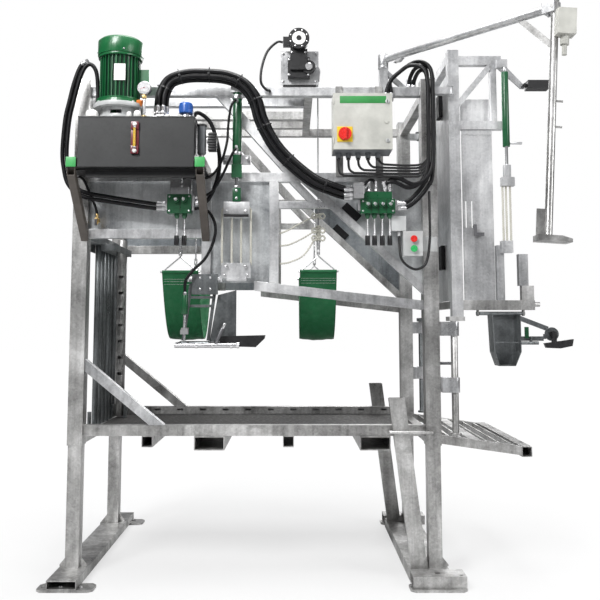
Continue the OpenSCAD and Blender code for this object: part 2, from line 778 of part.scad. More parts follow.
module motor_body() {
  translate([motor_x, motor_y, 0]) {
    color(grey) difference() {
      union() {
        rod_z(0, 0, flange_z, flange_z + 22, flange_d, 0, fn_big);
        rod_z(0, 0, flange_z + 21, motor_z, 236, 0, fn_big);
      }
      translate([0, 0, flange_z - 1]) cylinder(h = 80, d = 120, $fn = fn_big);
      for (a = [0 : 3]) rotate([0, 0, 45 + 90 * a]) translate([flange_d / 2 - 16, 0,
        flange_z - 1]) cylinder(h = 30, d = 14, $fn = fn_small);
    }
    color(green) {
      difference() {
        union() {
          rod_z(0, 0, motor_z + g, cowl_z - g, motor_d - 22, 0, fn_big);
          rod_z(0, 0, cowl_z - 14, cowl_z - g, cowl_d - 7, 0, fn_big);
          for (a = [0 : 31]) rotate([0, 0, a * 11.25]) translate([motor_d / 4, 0,
            (motor_z + cowl_z) / 2]) cube([motor_d / 2, 4, cowl_z - motor_z - 2], center = true);
        }
        translate([0, 0, motor_z - 1]) cylinder(h = cowl_z - motor_z - 15, d = 124,
          $fn = fn_big);
        translate([0, 0, motor_z]) cylinder(h = 250, d = 26 + run_clear, $fn = fn_big);
      }
      // fan cowl with air slots
      difference() {
        union() {
          rod_z(0, 0, cowl_z, cowl_top - 12, cowl_d, 0, fn_big);
          translate([0, 0, cowl_top - 12.5]) cylinder(h = 12.5, d1 = cowl_d, d2 = cowl_d - 28,
            $fn = fn_big);
        }
        translate([0, 0, cowl_z - 1]) cylinder(h = cowl_top - cowl_z - 15, d = cowl_d - 6,
          $fn = fn_big);
        for (a = [0 : 11]) rotate([0, 0, a * 30]) translate([70, 0, cowl_top])
          cube([60, 10, 50], center = true);
      }
      // terminal box
      translate([motor_d / 2 + 17, 40, motor_z + 125]) cube([60, 90, 90], center = true);
    }
    color([0.85, 0.85, 0.83]) translate([20, -motor_d / 2 - 2, motor_z + 126])
      cube([58, 3, 86], center = true);
  }
}

module motor_rotor() {
  color([0.6, 0.6, 0.62]) translate([motor_x, motor_y, 0]) {
    rod_z(0, 0, flange_z - 18, cowl_top - 20, 26);
    rod_z(0, 0, motor_z + 20, cowl_z - 20, 118, 0, fn_big);
    rod_z(0, 0, cowl_z + 16, cowl_z + 58, 60);
    for (a = [0 : 6]) rotate([0, 0, a * 360 / 7]) translate([60, 0, cowl_z + 37])
      cube([86, 4, 40], center = true);
  }
}

// Control cabinet

module control_cabinet() {
  x0 = cab_x - cab_w / 2;
  color([0.78, 0.77, 0.7]) {
    difference() {
      block(x0, x0 + cab_w, cab_y, cab_y + cab_d, cab_z, cab_z + cab_h);
      block(x0 + 2, x0 + cab_w - 2, cab_y - 2, cab_y + cab_d - 2, cab_z + 2, cab_z + cab_h - 2);
      for (i = [0 : 4]) translate([cab_x - 122 + i * 52, cab_y + 80, cab_z - 2])
        cylinder(h = 8, d = 20.6, $fn = fn_small);
    }
    block(x0 + 20, x0 + cab_w - 20, cab_y + cab_d - 14, cab_y + cab_d - 11, cab_z + 20,
      cab_z + cab_h - 20);
    for (i = [0, 1]) block(x0 + 50 + i * 70, x0 + 100 + i * 70, cab_y + 70,
      cab_y + cab_d - 14 - g, cab_z + 150, cab_z + 230);
    block(x0 + 40, x0 + 250, cab_y + 96, cab_y + cab_d - 14 - g, cab_z + 70, cab_z + 110);
    for (x = [x0 + 30, x0 + cab_w - 30]) for (z = [cab_z + 30, cab_z + cab_h - 30])
      rod_y(x, cab_y + cab_d - 11 + g, cab_y + cab_d - 2 - g, z, 12);
  }
  color(zinc) {
    for (x = [x0 + 45, x0 + cab_w - 45]) {
      block(x - 20, x + 20, -yo - 8, -yo - g, beam_z + 2, roof_top);
      for (z = [cab_z + 60, cab_z + cab_h - 60]) rod_y(x, cab_y + cab_d + g, -yo - 8 - g, z, 24);
    }
  }
  color(black) for (i = [0 : 4]) {
    rod_z(cab_x - 122 + i * 52, cab_y + 80, cab_z - 26, cab_z - g, 28, 14);
    rod_z(cab_x - 122 + i * 52, cab_y + 80, cab_z + 3, cab_z + 12, 28, 14);
    rod_z(cab_x - 122 + i * 52, cab_y + 80, cab_z - 1, cab_z + 4, 20, 14);
  }
}

module cabinet_door() {
  x0 = cab_x - cab_w / 2;
  color([0.8, 0.79, 0.72]) difference() {
    union() {
      block(x0, x0 + cab_w, cab_y - 14, cab_y - g, cab_z, cab_z + cab_h);
      rod_z(x0 + 1, cab_y - 14, cab_z + 30, cab_z + 60, 9);
      rod_z(x0 + 1, cab_y - 14, cab_z + cab_h - 60, cab_z + cab_h - 30, 9);
      rod_y(cab_x + 122, cab_y - 19, cab_y - 13, switch_z + 69, 22);
    }
    block(x0 + 3, x0 + cab_w - 3, cab_y - 12, cab_y + 1, cab_z + 3, cab_z + cab_h - 3);
    translate([switch_x, cab_y + 20, switch_z]) rotate([90, 0, 0])
      cylinder(h = 60, d = 20 + run_clear, $fn = fn_small);
  }
  color([0.85, 0.7, 0.1]) difference() {
    translate([switch_x, cab_y - 16 - g, switch_z]) cube([80, 4, 80], center = true);
    translate([switch_x, cab_y + 20, switch_z]) rotate([90, 0, 0])
      cylinder(h = 60, d = 26, $fn = fn_small);
  }
}

module main_switch() {
  color([0.75, 0.1, 0.1]) {
    rod_y(switch_x, cab_y - 26, cab_y - 1.2, switch_z, 20);
    rod_y(switch_x, cab_y - 34, cab_y - 20, switch_z, 68, 0, fn_big);
    translate([switch_x, cab_y - 42, switch_z]) cube([15, 18, 60], center = true);
  }
}

// Valves and buttons

module valve_bank(x0, x1, zt, xs) {
  color(green) {
    difference() {
      block(x0, x1, valve_y - 40, valve_y + 20, lever_z + 8, zt);
      for (x = xs) block(x - 9, x + 9, valve_y - 30, valve_y + 10, lever_z, lever_z + 30);
    }
    for (x = xs) rod_y(x, valve_y - 62, valve_y - 40 - g, zt - 30, 30);
  }
  color(grey) {
    block(x0 + 15, x1 - 15, valve_y - 34, valve_y + 14, zt + g, zt + 40);
    for (s = [0, 1]) block(s == 0 ? x0 - 13 : x1 + g, s == 0 ? x0 - g : x1 + 13,
      valve_y - 32, valve_y + 8, lever_z + 24, zt - 4);
    block(x0 + 5, x1 - 5, valve_y + 20 + g, valve_y + 26, lever_z + 40, beam_bot + 20);
    block(x0 + 5, x1 - 5, valve_y + 26 + g, -yo - g, beam_bot + 2, beam_bot + 20);
  }
}

module valve_banks() {
  valve_bank(-462, -334, lever_z + 110, front_levers);
  valve_bank(562, 744, lever_z + 84, rear_levers);
  color(grey) block(521.2, 562 + 15 - g, valve_y - 76, valve_y + 14, lever_z + 84 + g,
    lever_z + 166);
}

module lever(x) {
  color(black) {
    rod_x(x - 8.7, x + 8.7, valve_y - 10, lever_z + 16, 12);
    rod_z(x, valve_y - 10, lever_z - 108, lever_z + 16, 9);
    rod_z(x, valve_y - 10, lever_z - 160, lever_z - 108, knob_d, 0, fn_big);
  }
}

module front_lever_a() { lever(front_levers[0]); }
module front_lever_b() { lever(front_levers[1]); }
module rear_lever_a() { lever(rear_levers[0]); }
module rear_lever_b() { lever(rear_levers[1]); }
module rear_lever_c() { lever(rear_levers[2]); }
module rear_lever_d() { lever(rear_levers[3]); }

module button_box() {
  x0 = box_x - 52;
  color([0.55, 0.56, 0.57]) {
    difference() {
      block(x0, x0 + 104, box_y, box_y + 50, box_z - 67, box_z + 66);
      block(x0 + 3, x0 + 101, box_y + 3, box_y + 47, box_z - 64, box_z + 63);
      for (z = [-29, 23]) translate([box_x + 3, box_y + 10, box_z + z]) rotate([90, 0, 0])
        cylinder(h = 20, d = button_d + run_clear, $fn = fn_small);
    }
    block(box_x - 20, hx - 5, -hy - 4 - g, -hy - g, box_z - 40, box_z + 40);
    block(box_x - 30, box_x + 30, box_y + 50 + g, -hy - 4 - 2 * g, box_z - 40, box_z + 40);
    block(726, 806, box_y, box_y + 44, box_z + 66 + g, box_z + 146);
    block(740, 800, box_y + 44 + g, -cy - sheet_t / 2 - g, box_z + 90, box_z + 130);
    rod_z(770, box_y + 22, box_z + 40, box_z + 66, 18);
  }
}

module push_button(z) {
  rod_y(box_x + 3, box_y - 12, box_y + 30, z, button_d);
  rod_y(box_x + 3, box_y - 18, box_y - 11, z, button_d + 10);
}

module start_button() { color(green) push_button(box_z - 29); }
module stop_button() { color([0.75, 0.1, 0.1]) push_button(box_z + 23); }

// Hoses and cables

// main bundle from the manifold down to the rear valve bank
bundle = [[0, 0], [27, 0], [-27, 0], [14, -26], [-14, -26]];
main_run = [[-490, -hy - 150, tank_top + 43.6], [-490, -hy - 150, tank_top + 96],
  [-482, -hy - 144, tank_top + 166], [-446, -hy - 132, tank_top + 234],
  [-366, -hy - 114, tank_top + 268], [-262, -hy - 100, tank_top + 276],
  [-150, -hy - 90, tank_top + 268], [-60, -hy - 86, tank_top + 226],
  [2, -hy - 85, tank_top + 142], [40, -hy - 85, tank_top + 22], [130, -hy - 85, tank_top - 132],
  [290, -hy - 87, beam_z - 24], [410, -hy - 91, beam_z - 82], [482, -hy - 93, beam_z - 105],
  [519.2, -hy - 93, beam_z - 105]];
post_run = [[759, -hy - 67, lever_z + 50], [800, -hy - 67, lever_z + 54],
  [hx - 135, -hy - 67, beam_z - 135], [hx - 73, -hy - 65, beam_z - 60],
  [hx - 45, -hy - 55, beam_z + 20], [hx - 38, -hy - 55, roof_top - 180],
  [hx - 41, -hy - 51, roof_top + 50], [hx - 65, -hy - 40, roof_top + 88],
  [hx - 101, -hy - 15, roof_top + 84], [hx - 122, -hy + 13, roof_top + 50],
  [hx - 127, -hy + 37, roof_top + 18], [hx - 127, -hy + 38, roof_top + 2.2]];
left_run = [[-840, -hy - 90, tank_top + 30.8], [-840, -hy - 90, tank_top + 70],
  [-842, -hy - 93, tank_top + 200], [-852, -hy - 96, tank_top + 296],
  [-882, -hy - 98, tank_top + 338], [-hx + 70, -hy - 99, tank_top + 318],
  [-hx + 40, -hy - 98, tank_top + 240], [-hx + 14, -hy - 96, tank_top + 130],
  [-hx - 5, -hy - 95, 2400],
  [-hx - 15, -hy - 95, 2240], [-hx - 7, -hy - 95, 2150], [-hx + 17, -hy - 95, 2066],
  [-hx + 80, -hy - 95, 2012], [-764, -hy - 85, 1985], [-600, -hy - 70, 1962],
  [-520, -hy - 65, 1952], [-476, -hy - 64, 1951]];
right_run = [[-330, -hy - 90, tank_top + 30.8], [-330, -hy - 90, tank_top + 52],
  [-300, -hy - 81, tank_top + 76], [-236, -hy - 71, tank_top + 20], [-196, -hy - 65, 2250],
  [-190, -hy - 63, 2150], [-212, -hy - 61, 2050], [-250, -hy - 59, 1975], [-290, -hy - 57, 1957],
  [-319, -hy - 57, 1955]];
rest_run = [[-319, -hy - 61, 1926], [-290, -hy - 61, 1928], [-240, -hy - 61, 1905],
  [-208, -hy - 61, 1830], [-222, -hy - 61, 1740], [-262, -hy - 61, 1660], [-322, -hy - 61, 1600],
  [-360, -hy - 61, 1550], [-366, -hy - 61, 1510], [-366, -hy - 61, 1485]];

module hydraulic_hoses() {
  color(black) {
    for (o = bundle) tube_along(route(shifted(main_run, o[0], o[1]), 3), hose_d);
    for (a = [-13, 13]) tube_along(route(shifted(post_run, a, 0), 3), hose_d);
    tube_along(route(left_run, 3), hose_d);
    tube_along(route(right_run, 3), hose_d);
  }
}

module rest_hose() { color(black) tube_along(route(rest_run, 3), 16); }

module cables() {
  // control cables leave the cabinet floor and turn towards the entry post
  color(black) {
    for (i = [0 : 4]) let (x = cab_x - 122 + i * 52, z = cab_z - 122 + i * 15)
      tube_along(route([[x, cab_y + 80, cab_z + 10], [x, cab_y + 80, cab_z - 26],
      [x + 4, cab_y + 80, z + 26], [x + 24, cab_y + 80, z + 4], [x + 60, cab_y + 82, z],
      [820, cab_y + 90, z - 2], [880, cab_y + 100, z + 6],
      [915, cab_y + 112, z + 40]], 3), 13);
    // loop from the junction box past the button box
    tube_along(route([[770, box_y + 22, box_z + 39], [772, box_y + 16, box_z - 20],
      [778, box_y + 6, box_z - 80], [812, box_y, box_z - 122], [862, box_y, box_z - 138],
      [910, box_y, box_z - 100], [930, box_y, box_z + 20], [932, box_y + 4, box_z + 160],
      [932, box_y + 6, beam_z - 90]], 3), 14);
    // winch motor cable
    tube_along(route([[148.2, -hy - 25, roof_top + 238], [116, -hy - 25, roof_top + 238],
      [64, -hy - 33, roof_top + 182], [34, -hy - 38, roof_top + 90], [30, -hy - 35, roof_top + 10],
      [56, -hy - 17, roof_top - 24], [74, -hy + 1, roof_top - 26], [76, -hy + 14, roof_top - 26]], 3), 14);
  }
}

// Winch

module winch_body() {
  z0 = roof_top + g;
  color([0.13, 0.13, 0.14]) {
    block(149, 331, -hy + 10, drum_y + 62, z0, z0 + 10);
    // side cheeks with drum shaft bores
    for (y = [-hy + 14, drum_y + 50]) difference() {
      block(y < drum_y ? 137 : 225, 345, y, y + 10, z0 + 10 + g, z0 + 200);
      translate([drum_x, y + 20, drum_z]) rotate([90, 0, 0])
        cylinder(h = 40, d = 30 + run_clear, $fn = fn_small);
    }
    block(160, 220, -hy + 24 + g, drum_y, z0 + 10 + g, z0 + 150);
    // gearbox on the face of the front cheek
    difference() {
      union() {
        block(176, 296, -hy - 34, -hy + 14 - g, z0 + 40, z0 + 150);
        block(190, 282, -hy - 52, -hy + 14 - g, z0 + 76, z0 + 190);
        rod_y(drum_x, -hy - 44, -hy - 20, drum_z, 74, 0, fn_big);
      }
      translate([drum_x, -hy + 40, drum_z]) rotate([90, 0, 0]) cylinder(h = 48,
        d = 30 + run_clear, $fn = fn_small);
    }
  }
  color(black) {
    // motor standing on the gearbox, end towards the working side
    difference() {
      rod_y(236, -hy - 60, -hy + 14 - g, z0 + 240, 104, 0, fn_big);
      block(180, 290, -hy - 61, -hy + 20, z0 + 180, z0 + 190 + g);
    }
    rod_y(236, -hy - 84, -hy - 60 - g, z0 + 240, 114, 60, fn_big);
    block(150, 190, -hy - 46, -hy - 4, z0 + 214, z0 + 262);
  }
}

// rope layer wound once over the drum width
winding = [for (i = [0 : wind_n * 20]) [drum_x + (drum_d + rope_d) / 2 * cos(i * 18),
  drum_y - wind_n / 2 * wind_pitch + i / 20 * wind_pitch,
  drum_z - (drum_d + rope_d) / 2 * sin(i * 18)]];
echo(rope_gap = wind_pitch - rope_d);

module winch_drum() {
  w = wind_n * wind_pitch + rope_d + 6;
  color(grey) {
    rod_y(drum_x, -hy + 4, drum_y + 68, drum_z, 30);
    rod_y(drum_x, drum_y - w / 2 - 2, drum_y + w / 2 + 2, drum_z, drum_d - 0.8, 0, fn_big);
    for (s = [-1, 1]) translate([drum_x, drum_y + s * (w / 2 + 2), drum_z])
      rotate([90, 0, 0]) cylinder(h = 4, d = drum_d + 34, center = true, $fn = fn_big);
  }
  color([0.5, 0.5, 0.5]) tube_along(winding, rope_d, 6, [0.9, 0.1, 0]);
}

module winch_rope() {
  color([0.5, 0.5, 0.5]) rod_z(rope_x, rope_y, winch_hook_z + 40, drum_z - 1.2, rope_d);
}

// fork with a cross pin that a ring hangs on, joined by a stem to a rod above
module eye_fork(x, y, z, pin, ztop, d) {
  for (q = [-1, 1]) block(x + (q < 0 ? -9 : 5), x + (q < 0 ? -5 : 9), y - 9, y + 9, z - 7,
    z + 26);
  rod_x(x - 9, x + 9, y, z, pin);
  block(x - 9, x + 9, y - 9, y + 9, z + 22, z + 32);
  rod_z(x, y, z + 31, ztop, d);
}

module winch_hook() {
  color(grey) {
    eye_fork(rope_x, rope_y, eye_z + 1.2, 10.9, winch_hook_z + 2, 14);
    rod_z(rope_x, rope_y, winch_hook_z + 1, winch_hook_z + 40 - g, 20);
  }
}

// Belly bands

// hanging curve across the stall, height above the lip
function band_z(s, near_y) = -4 * band_sag * s * (1 - s);
function band_line(o, y0) = [for (i = [0 : 24]) let (s = i / 24,
  y = y0 + s * (band_far_y - y0), dz = -4 * band_sag * (1 - 2 * s) / (band_far_y - y0),
  n = unit([-dz, 1])) [y + n[0] * o, band_lip_z + band_z(s, y0) + n[1] * o]];
function reversed(v) = [for (i = [len(v) - 1 : -1 : 0]) v[i]];

module band(x, y0) {
  plate_yz(concat(band_line(-band_t / 2, y0), reversed(band_line(band_t / 2, y0))), x, band_w);
}

// lip bar, triangle rods and eye at one end of a band
module band_ring(x, y, bore) {
  rod_x(x - band_w / 2 - 10, x + band_w / 2 + 10, y, band_lip_z + 7, 12);
  for (q = [-1, 1]) lean_rod(x + q * (band_w / 2 - 4), band_lip_z + 8, x + q * 3,
    eye_z - 17, y, 8);
  block(x - 4, x + 4, y - 4, y + 4, eye_z - 20, eye_z - bore / 2 - 3);
  rod_x(x - 4, x + 4, y, eye_z, bore + 13, bore);
}

module belly_band_front() { color([0.12, 0.4, 0.25]) band(band_f_x, band_near_y); }

module belly_band_rear() {
  color([0.12, 0.4, 0.25]) band(band_r_x, rope_y);
  color(grey) {
    band_ring(band_r_x, rope_y, 16);
    band_ring(band_r_x, band_far_y, 11);
  }
}

module band_rings() {
  color(grey) {
    for (y = [band_near_y, band_far_y]) {
      band_ring(band_f_x, y, 11);
      eye_fork(band_f_x, y, eye_z, 10.9, beam_z - 15 - g, 10);
    }
    // bars behind the beams that carry the band ends
    bar_y(band_f_x, -cy + rail / 2 + g, band_near_y + 20, beam_z, 30, 30);
    for (x = [band_f_x, band_r_x]) bar_y(x, band_far_y - 12, cy - rail / 2 - g, beam_z, 30, 30);
    eye_fork(band_r_x, band_far_y, eye_z, 10.9, beam_z - 15 - g, 10);
  }
}

// Boom

module boom_arm() {
  color(zinc) translate([boom_x, boom_y, boom_z]) {
    rod_z(0, 0, -35, 28, 56, 40);
    rotate([0, 0, boom_a]) {
      rod_x(28.4, boom_l - 44, 0, 0, boom_d, boom_d - 6);
      for (s = [-1, 1]) translate([boom_l - 20, s * 28, 0]) difference() {
        cube([64, 8, 54], center = true);
        translate([20, 0, 0]) rotate([90, 0, 0]) cylinder(h = 20, d = 16 + run_clear,
          center = true, $fn = fn_small);
      }
      translate([boom_l - 46, 0, 0]) cube([7, 48, 54], center = true);
      intersection() {
        slope_xz(60, -62, 150, 0, 0, 22, 22, 3, 60);
        block(28.4, 400, -20, 20, -35, -boom_d / 2 - g);
      }
    }
  }
}

module boom_hanger() {
  color(zinc) translate([boom_end[0], boom_end[1], boom_z]) {
    rotate([0, 3.5, boom_a + 46]) {
      rod_z(0, 0, -hanger_l, 40, boom_d - 2, boom_d - 8);
      // bracket plate with its foot at the low end
      translate([-35, 0, -hanger_l + 75]) cube([40, 8, 130], center = true);
      difference() {
        translate([18, -8, -hanger_l + 4]) cube([150, 90, 28], center = true);
        translate([60, -8, -hanger_l + 30]) rotate([0, 14, 0]) cube([150, 100, 30],
          center = true);
      }
      for (i = [0, 1]) translate([30, 0, -hanger_l + 520 + i * 120]) rotate([0, 90, 0])
        rod_z(0, 0, -30.6 + boom_d / 2, 18, 10);
    }
    // pin of the bolted fork and the brace under the arm
    rotate([0, 0, boom_a]) {
      rod_y(0, -34, 34, 0, 16);
      plate_xz([[-190, -boom_d / 2 - g], [-152, -boom_d / 2 - g], [-6, -176], [-6, -214]], 0, 6);
    }
  }
  color([0.86, 0.84, 0.76]) translate([boom_end[0], boom_end[1], boom_z])
    rotate([0, 3.5, boom_a + 46]) difference() {
      union() {
        translate([36, -37, -88]) cube([84, 66, 120], center = true);
        rod_z(36, -37, -192, -147, 40);
        rod_z(36, -37, -240, -191, 22);
      }
      translate([0, 0, -200]) cylinder(h = 400, d = boom_d - 1.2, $fn = fn_small);
    }
}

// Front hoist and hoof rest

module sheave(x, y, z, d) {
  rod_y(x, y - 8, y + 8, z, d - tackle_d - 1, 0, fn_small);
}

module front_hoist_cylinder() {
  color(green) {
    difference() {
      rod_z(fh_x, fh_y, beam_z + 56, roof_bot - 2, hoist_d, 0, fn_big);
      translate([fh_x, fh_y, beam_z + 100]) cylinder(h = roof_bot - beam_z - 116,
        d = hoist_d - 10, $fn = fn_big);
      translate([fh_x, fh_y, beam_z + 40]) cylinder(h = 70, d = hoist_rod_d + run_clear,
        $fn = fn_big);
    }
    difference() {
      block(fh_x - 28, fh_x + 28, fh_y - 26, fh_y + 26, beam_z - 15, beam_z + 56 - g);
      translate([fh_x, fh_y, beam_z - 20]) cylinder(h = 90, d = hoist_rod_d + run_clear,
        $fn = fn_big);
    }
  }
  color(grey) {
    for (s = [-1, 1]) rod_y(fh_x + s * 60, fh_y - 34, fh_y - 12 - g, beam_z + 83, 16);
    difference() {
      block(fh_x - 74, fh_x + 74, fh_y - 12, fh_y + 12, beam_z + 60, beam_z + 108);
      rod_z(fh_x, fh_y, beam_z + 50, beam_z + 120, hoist_d + 2 * g, 0, fn_big);
    }
    // bar and bracket that the front hoof rest turns on
    rod_x(-347 + g, -183 - g, front_rest_y, front_rest_z, 24);
    block(-357, -173, -hy + 5, -yo - g, front_rest_z - 16, front_rest_z + 16);
    for (x = [-357, -183]) block(x, x + 10, front_rest_y - 14, -hy + 5.5, front_rest_z - 16,
      front_rest_z + 16);
    block(fh_x - 40, fh_x + 40, fh_y + 26 + g, -yo - g, beam_z - 10, beam_z + 20);
    block(fh_x - 34, fh_x + 34, fh_y - 26, -yo - g, roof_bot - 2 + g, roof_bot + 30);
    // low tackle block on its bracket
    for (s = [-1, 1]) block(fh_x - 78, fh_x + 78, fh_y + (s < 0 ? -16 : 10), fh_y +
      (s < 0 ? -10 : 16), rope_low_z - 70, rope_low_z + 10);
    for (x = [-51, 51]) sheave(fh_x + x, fh_y, rope_low_z - 10, 52);
    rod_y(fh_x - 51, fh_y - 22, fh_y + 22, rope_low_z - 10, 12);
    rod_y(fh_x + 51, fh_y - 22, fh_y + 22, rope_low_z - 10, 12);
  }
  color([0.85, 0.85, 0.84]) {
    block(fh_x - 50, fh_x + 55, fh_y - 22, -cy - sheet_t / 2 - g, rope_low_z - 84,
      rope_low_z - 70 - g);
  }
}

module front_hoist_rod() {
  color([0.8, 0.81, 0.83]) {
    rod_z(fh_x, fh_y, beam_z - 70, beam_z + 270, hoist_rod_d, 0, fn_big);
    rod_z(fh_x, fh_y, beam_z + 248, beam_z + 278, hoist_d - 10 - run_clear, 0, fn_big);
  }
  color(grey) {
    block(fh_x - 22, fh_x + 22, fh_y - 20, fh_y + 20, beam_z - 145, beam_z - 70 - g);
    for (s = [-1, 1]) block(fh_x - 70, fh_x + 70, fh_y + (s < 0 ? -16 : 10), fh_y +
      (s < 0 ? -10 : 16), rope_high_z, beam_z - 145 - g);
    for (x = [-51, 51]) {
      sheave(fh_x + x, fh_y, rope_high_z + 34, 52);
      rod_y(fh_x + x, fh_y - 22, fh_y + 22, rope_high_z + 34, 12);
    }
  }
  color([0.82, 0.8, 0.72]) for (x = [-51, 51]) tube_along(concat(
    [[fh_x + x + 26, fh_y, rope_high_z + g]], [for (i = [0 : 12]) [fh_x + x + 26 * cos(i * 15),
    fh_y, rope_high_z + 34 + 26 * sin(i * 15)]], [[fh_x + x - 26, fh_y, rope_high_z + g]]),
    tackle_d, 8, [0, 1, 0]);
}

module front_hoist_ropes() {
  color([0.82, 0.8, 0.72]) for (x = [-77, -25, 25, 77])
    rod_z(fh_x + x, fh_y, rope_low_z + g, rope_high_z, tackle_d);
}

module front_hoof_rest() {
  z = front_rest_z;
  y = front_rest_y;
  // top cap turning on the bar
  color([0.75, 0.76, 0.76]) difference() {
    block(-334, -197, y - 14, y + 9, z - 84, z + 24);
    rod_x(-400, -100, y, z, 24 + run_clear);
  }
  color(darkz) {
    for (i = [0, 1]) intersection() {
      slope_xz(i == 0 ? -337 : -204, z + 20, i == 0 ? -381 : -248, 1228, y + 20.4, 16, 22, 3, 20);
      block(-420, -160, y, y + 60, 1228, z - 24);
    }
    for (zz = [1404, 1450]) block(-345, -218, y - 4, y + 9, zz, zz + 14);
    plate_xz([[-197.6, z - 86], [-99, z - 60], [-99, 1215], [-241.6, 1215]], y + 20,
      rest_plate_t);
    rod_x(-395, -86, y - 8, 1214, 24);
    // arms that carry the paddle
    for (x = [-240, -110]) {
      block(x, x + 10, y - 54.2, y + 2, 1200, 1228);
      block(x + (x < -200 ? 2 : 0), x + 10, y, y + 20 - rest_plate_t / 2 - g, 1216, 1228);
    }
  }
  color(green) rod_z(-366, y - 45, 1367, 1467, 34, 0, fn_big);
  color(grey) {
    rod_z(-366, y - 45, 1467 + g, 1484 - g, 20);
    rod_z(-366, y - 45, 1296 + g, 1367 - g, 14);
    block(-382, -350, y - 60, y + 9, 1286, 1296);
    block(-386, -346, y - 62, y - 26, 1262, 1286 - g);
    rod_z(-366, y - 45, 1228, 1262 - g, 12);
  }
}

module front_paddle() {
  y = front_rest_y - 46;
  color(black) {
    rod_x(-230 + g, -110 - g, y, 1214, 16);
    plate_xz([[-190, 1252], [60, 1258], [56, 1240], [10, 1196], [-150, 1200]], y - 26, 26);
    for (x = [-180, -130]) block(x, x + 10, y - 12.6, y + 6, 1206, 1240);
  }
}

// Gates

module near_gate() {
  px = gate_post_x - gate_post / 2;
  py = -hy + gate_post / 2;
  rx = gate_post_x + gate_post / 2 - 15 + g;
  color(zinc) {
    rod_z(gate_x, gate_y, 750, gate_low - 24, hinge_d);
    rod_z(gate_x, gate_y, 738, 750, 58);
    block(gate_x - 26, gate_x + 56, gate_y - 20, gate_y + 80, gate_low - 24 + g, gate_low - g);
    bar_z(gate_post_x, py, gate_low, gate_top_z, gate_post, gate_post);
    translate([gate_post_x, py, gate_top_z + 3 + g]) cube([gate_post, gate_post, 6],
      center = true);
    // upper hinge pin on its plate
    block(gate_x - 18, gate_x + 20, gate_y - 18, -hy - g, roof_top - 14, roof_top - 4);
    rod_z(gate_x, gate_y, roof_top - 62, roof_top - 14, 20);
    bar_z(gate_post_x + 6, free_y, 1400, gate_top_z, 40, 40);
    bar_y(gate_post_x, py + gate_post / 2 + g, free_y - 20 - g, gate_top_z - 25);
    bar_y(gate_post_x, py + gate_post / 2 + g, free_y - 20 - g, 1420, 40, 40);
    // return panel frame
    bar_x(gate_post_x + 30 + g, gate_x + 294, return_y, gate_top_z - 54, 40, 50);
    bar_x(gate_post_x + 30 + g, gate_x + 294, return_y, 2397, 40, 45);
    bar_x(gate_post_x + 30 + g, gate_x + 437, return_y, 1416, 40, 52);
    bar_z(gate_x + 248, return_y, 2420, gate_top_z - 79 - g, 32, 40);
    block(gate_x + 437 + g, gate_x + 441, return_y - 20, return_y + 20, 1390, 1442);
    rod_x(gate_x + 440, gate_x + 471, return_y, 1420, 26);
    // ears for the hind hoof rest
    for (x = [rest_x - 22, rest_x + 222]) difference() {
      block(x, x + 8, return_y - 14, return_y + 14, rear_rest_z - 14, 1390 - g);
      rod_x(x - 5, x + 13, return_y, rear_rest_z, 20 + run_clear);
    }
    // plate that carries the lamp
    difference() {
      plate_xz([[gate_x + 270, gate_top_z - 34], [gate_x + 292, gate_top_z - 34],
        [lamp_x + 10, lamp_z + 10], [lamp_x + 10, lamp_z - 12], [lamp_x - 10, lamp_z - 12],
        [gate_x + 270, gate_top_z - 74]], return_y + 24 + g, 8);
      rod_y(lamp_x, return_y - 40, return_y + 40, lamp_z, 14 + run_clear);
    }
    intersection() {
      slope_xz(gate_x + 211, 2706, gate_x + 69, 2535, return_y - 4, 30, 30, 3, 80);
      block(gate_post_x + 30 + g, gate_x + 231, -hy - 60, -hy + 60, 2420 + g,
        gate_top_z - 79 - g);
    }
    block(gate_x + 69, gate_x + 229, return_y + 13, return_y + 17, 2420 + g, 2550);
    difference() {
      block(gate_x + 69, gate_x + 236, return_y - 2, return_y + 2, 1442 + g, 2347);
      for (x = [84, 116]) block(gate_x + x, gate_x + x + 6, return_y - 10, return_y + 10,
        1835, 1980);
    }
    block(gate_x + 69, gate_x + 236, return_y - 8, return_y - 2 - g, 2347, 2374 - g);
    // upright tubes carrying the low end of the hind tackle
    bar_z(rh_x - 40, return_y, 1442 + g, 1738, 40, 40);
    bar_z(rh_x + 82, return_y, 1520 + g, 1690, 50, 40);
    block(rh_x + 70, rh_x + 135, return_y - 20, return_y + 20, 1442 + g, 1520);
  }
  color(darkz) block(gate_post_x - 30, gate_post_x - 26, py + gate_post / 2 + g,
    free_y - 20 - g, sheet_low + g, 2690);
}

module gate_buffers() {
  x = gate_post_x - 30;
  color(black) for (z = [1618, 2486]) block(x - 22, x - g, -345, -255, z, z + 135);
}

module far_gate() {
  px = gate_post_x - gate_post / 2;
  py = hy - gate_post / 2;
  color(darkz) {
    mirror([0, 1, 0]) {
      rod_z(gate_x, gate_y, 750, gate_low - 24, hinge_d);
      rod_z(gate_x, gate_y, 738, 750, 58);
      block(gate_x - 26, gate_x + 56, gate_y - 20, gate_y + 80, gate_low - 24 + g,
        gate_low - g);
      block(gate_x - 18, gate_x + 20, gate_y - 18, -hy - g, roof_top - 14, roof_top - 4);
      rod_z(gate_x, gate_y, roof_top - 62, roof_top - 14, 20);
      bar_z(gate_post_x, -py, gate_low, gate_top_z, gate_post, gate_post);
      bar_z(gate_post_x + 6, -far_free_y, 1400, gate_top_z, 40, 40);
    }
    for (z = [gate_top_z - 25, 1420]) bar_y(gate_post_x, far_free_y + 20 + g,
      py - gate_post / 2 - g, z, 40, 40);
    block(gate_post_x - 30, gate_post_x - 26, far_free_y + 20 + g, py - gate_post / 2 - g,
      sheet_low + g, 2690);
  }
}

// Hind hoist, hoof rest and lamp on the near gate

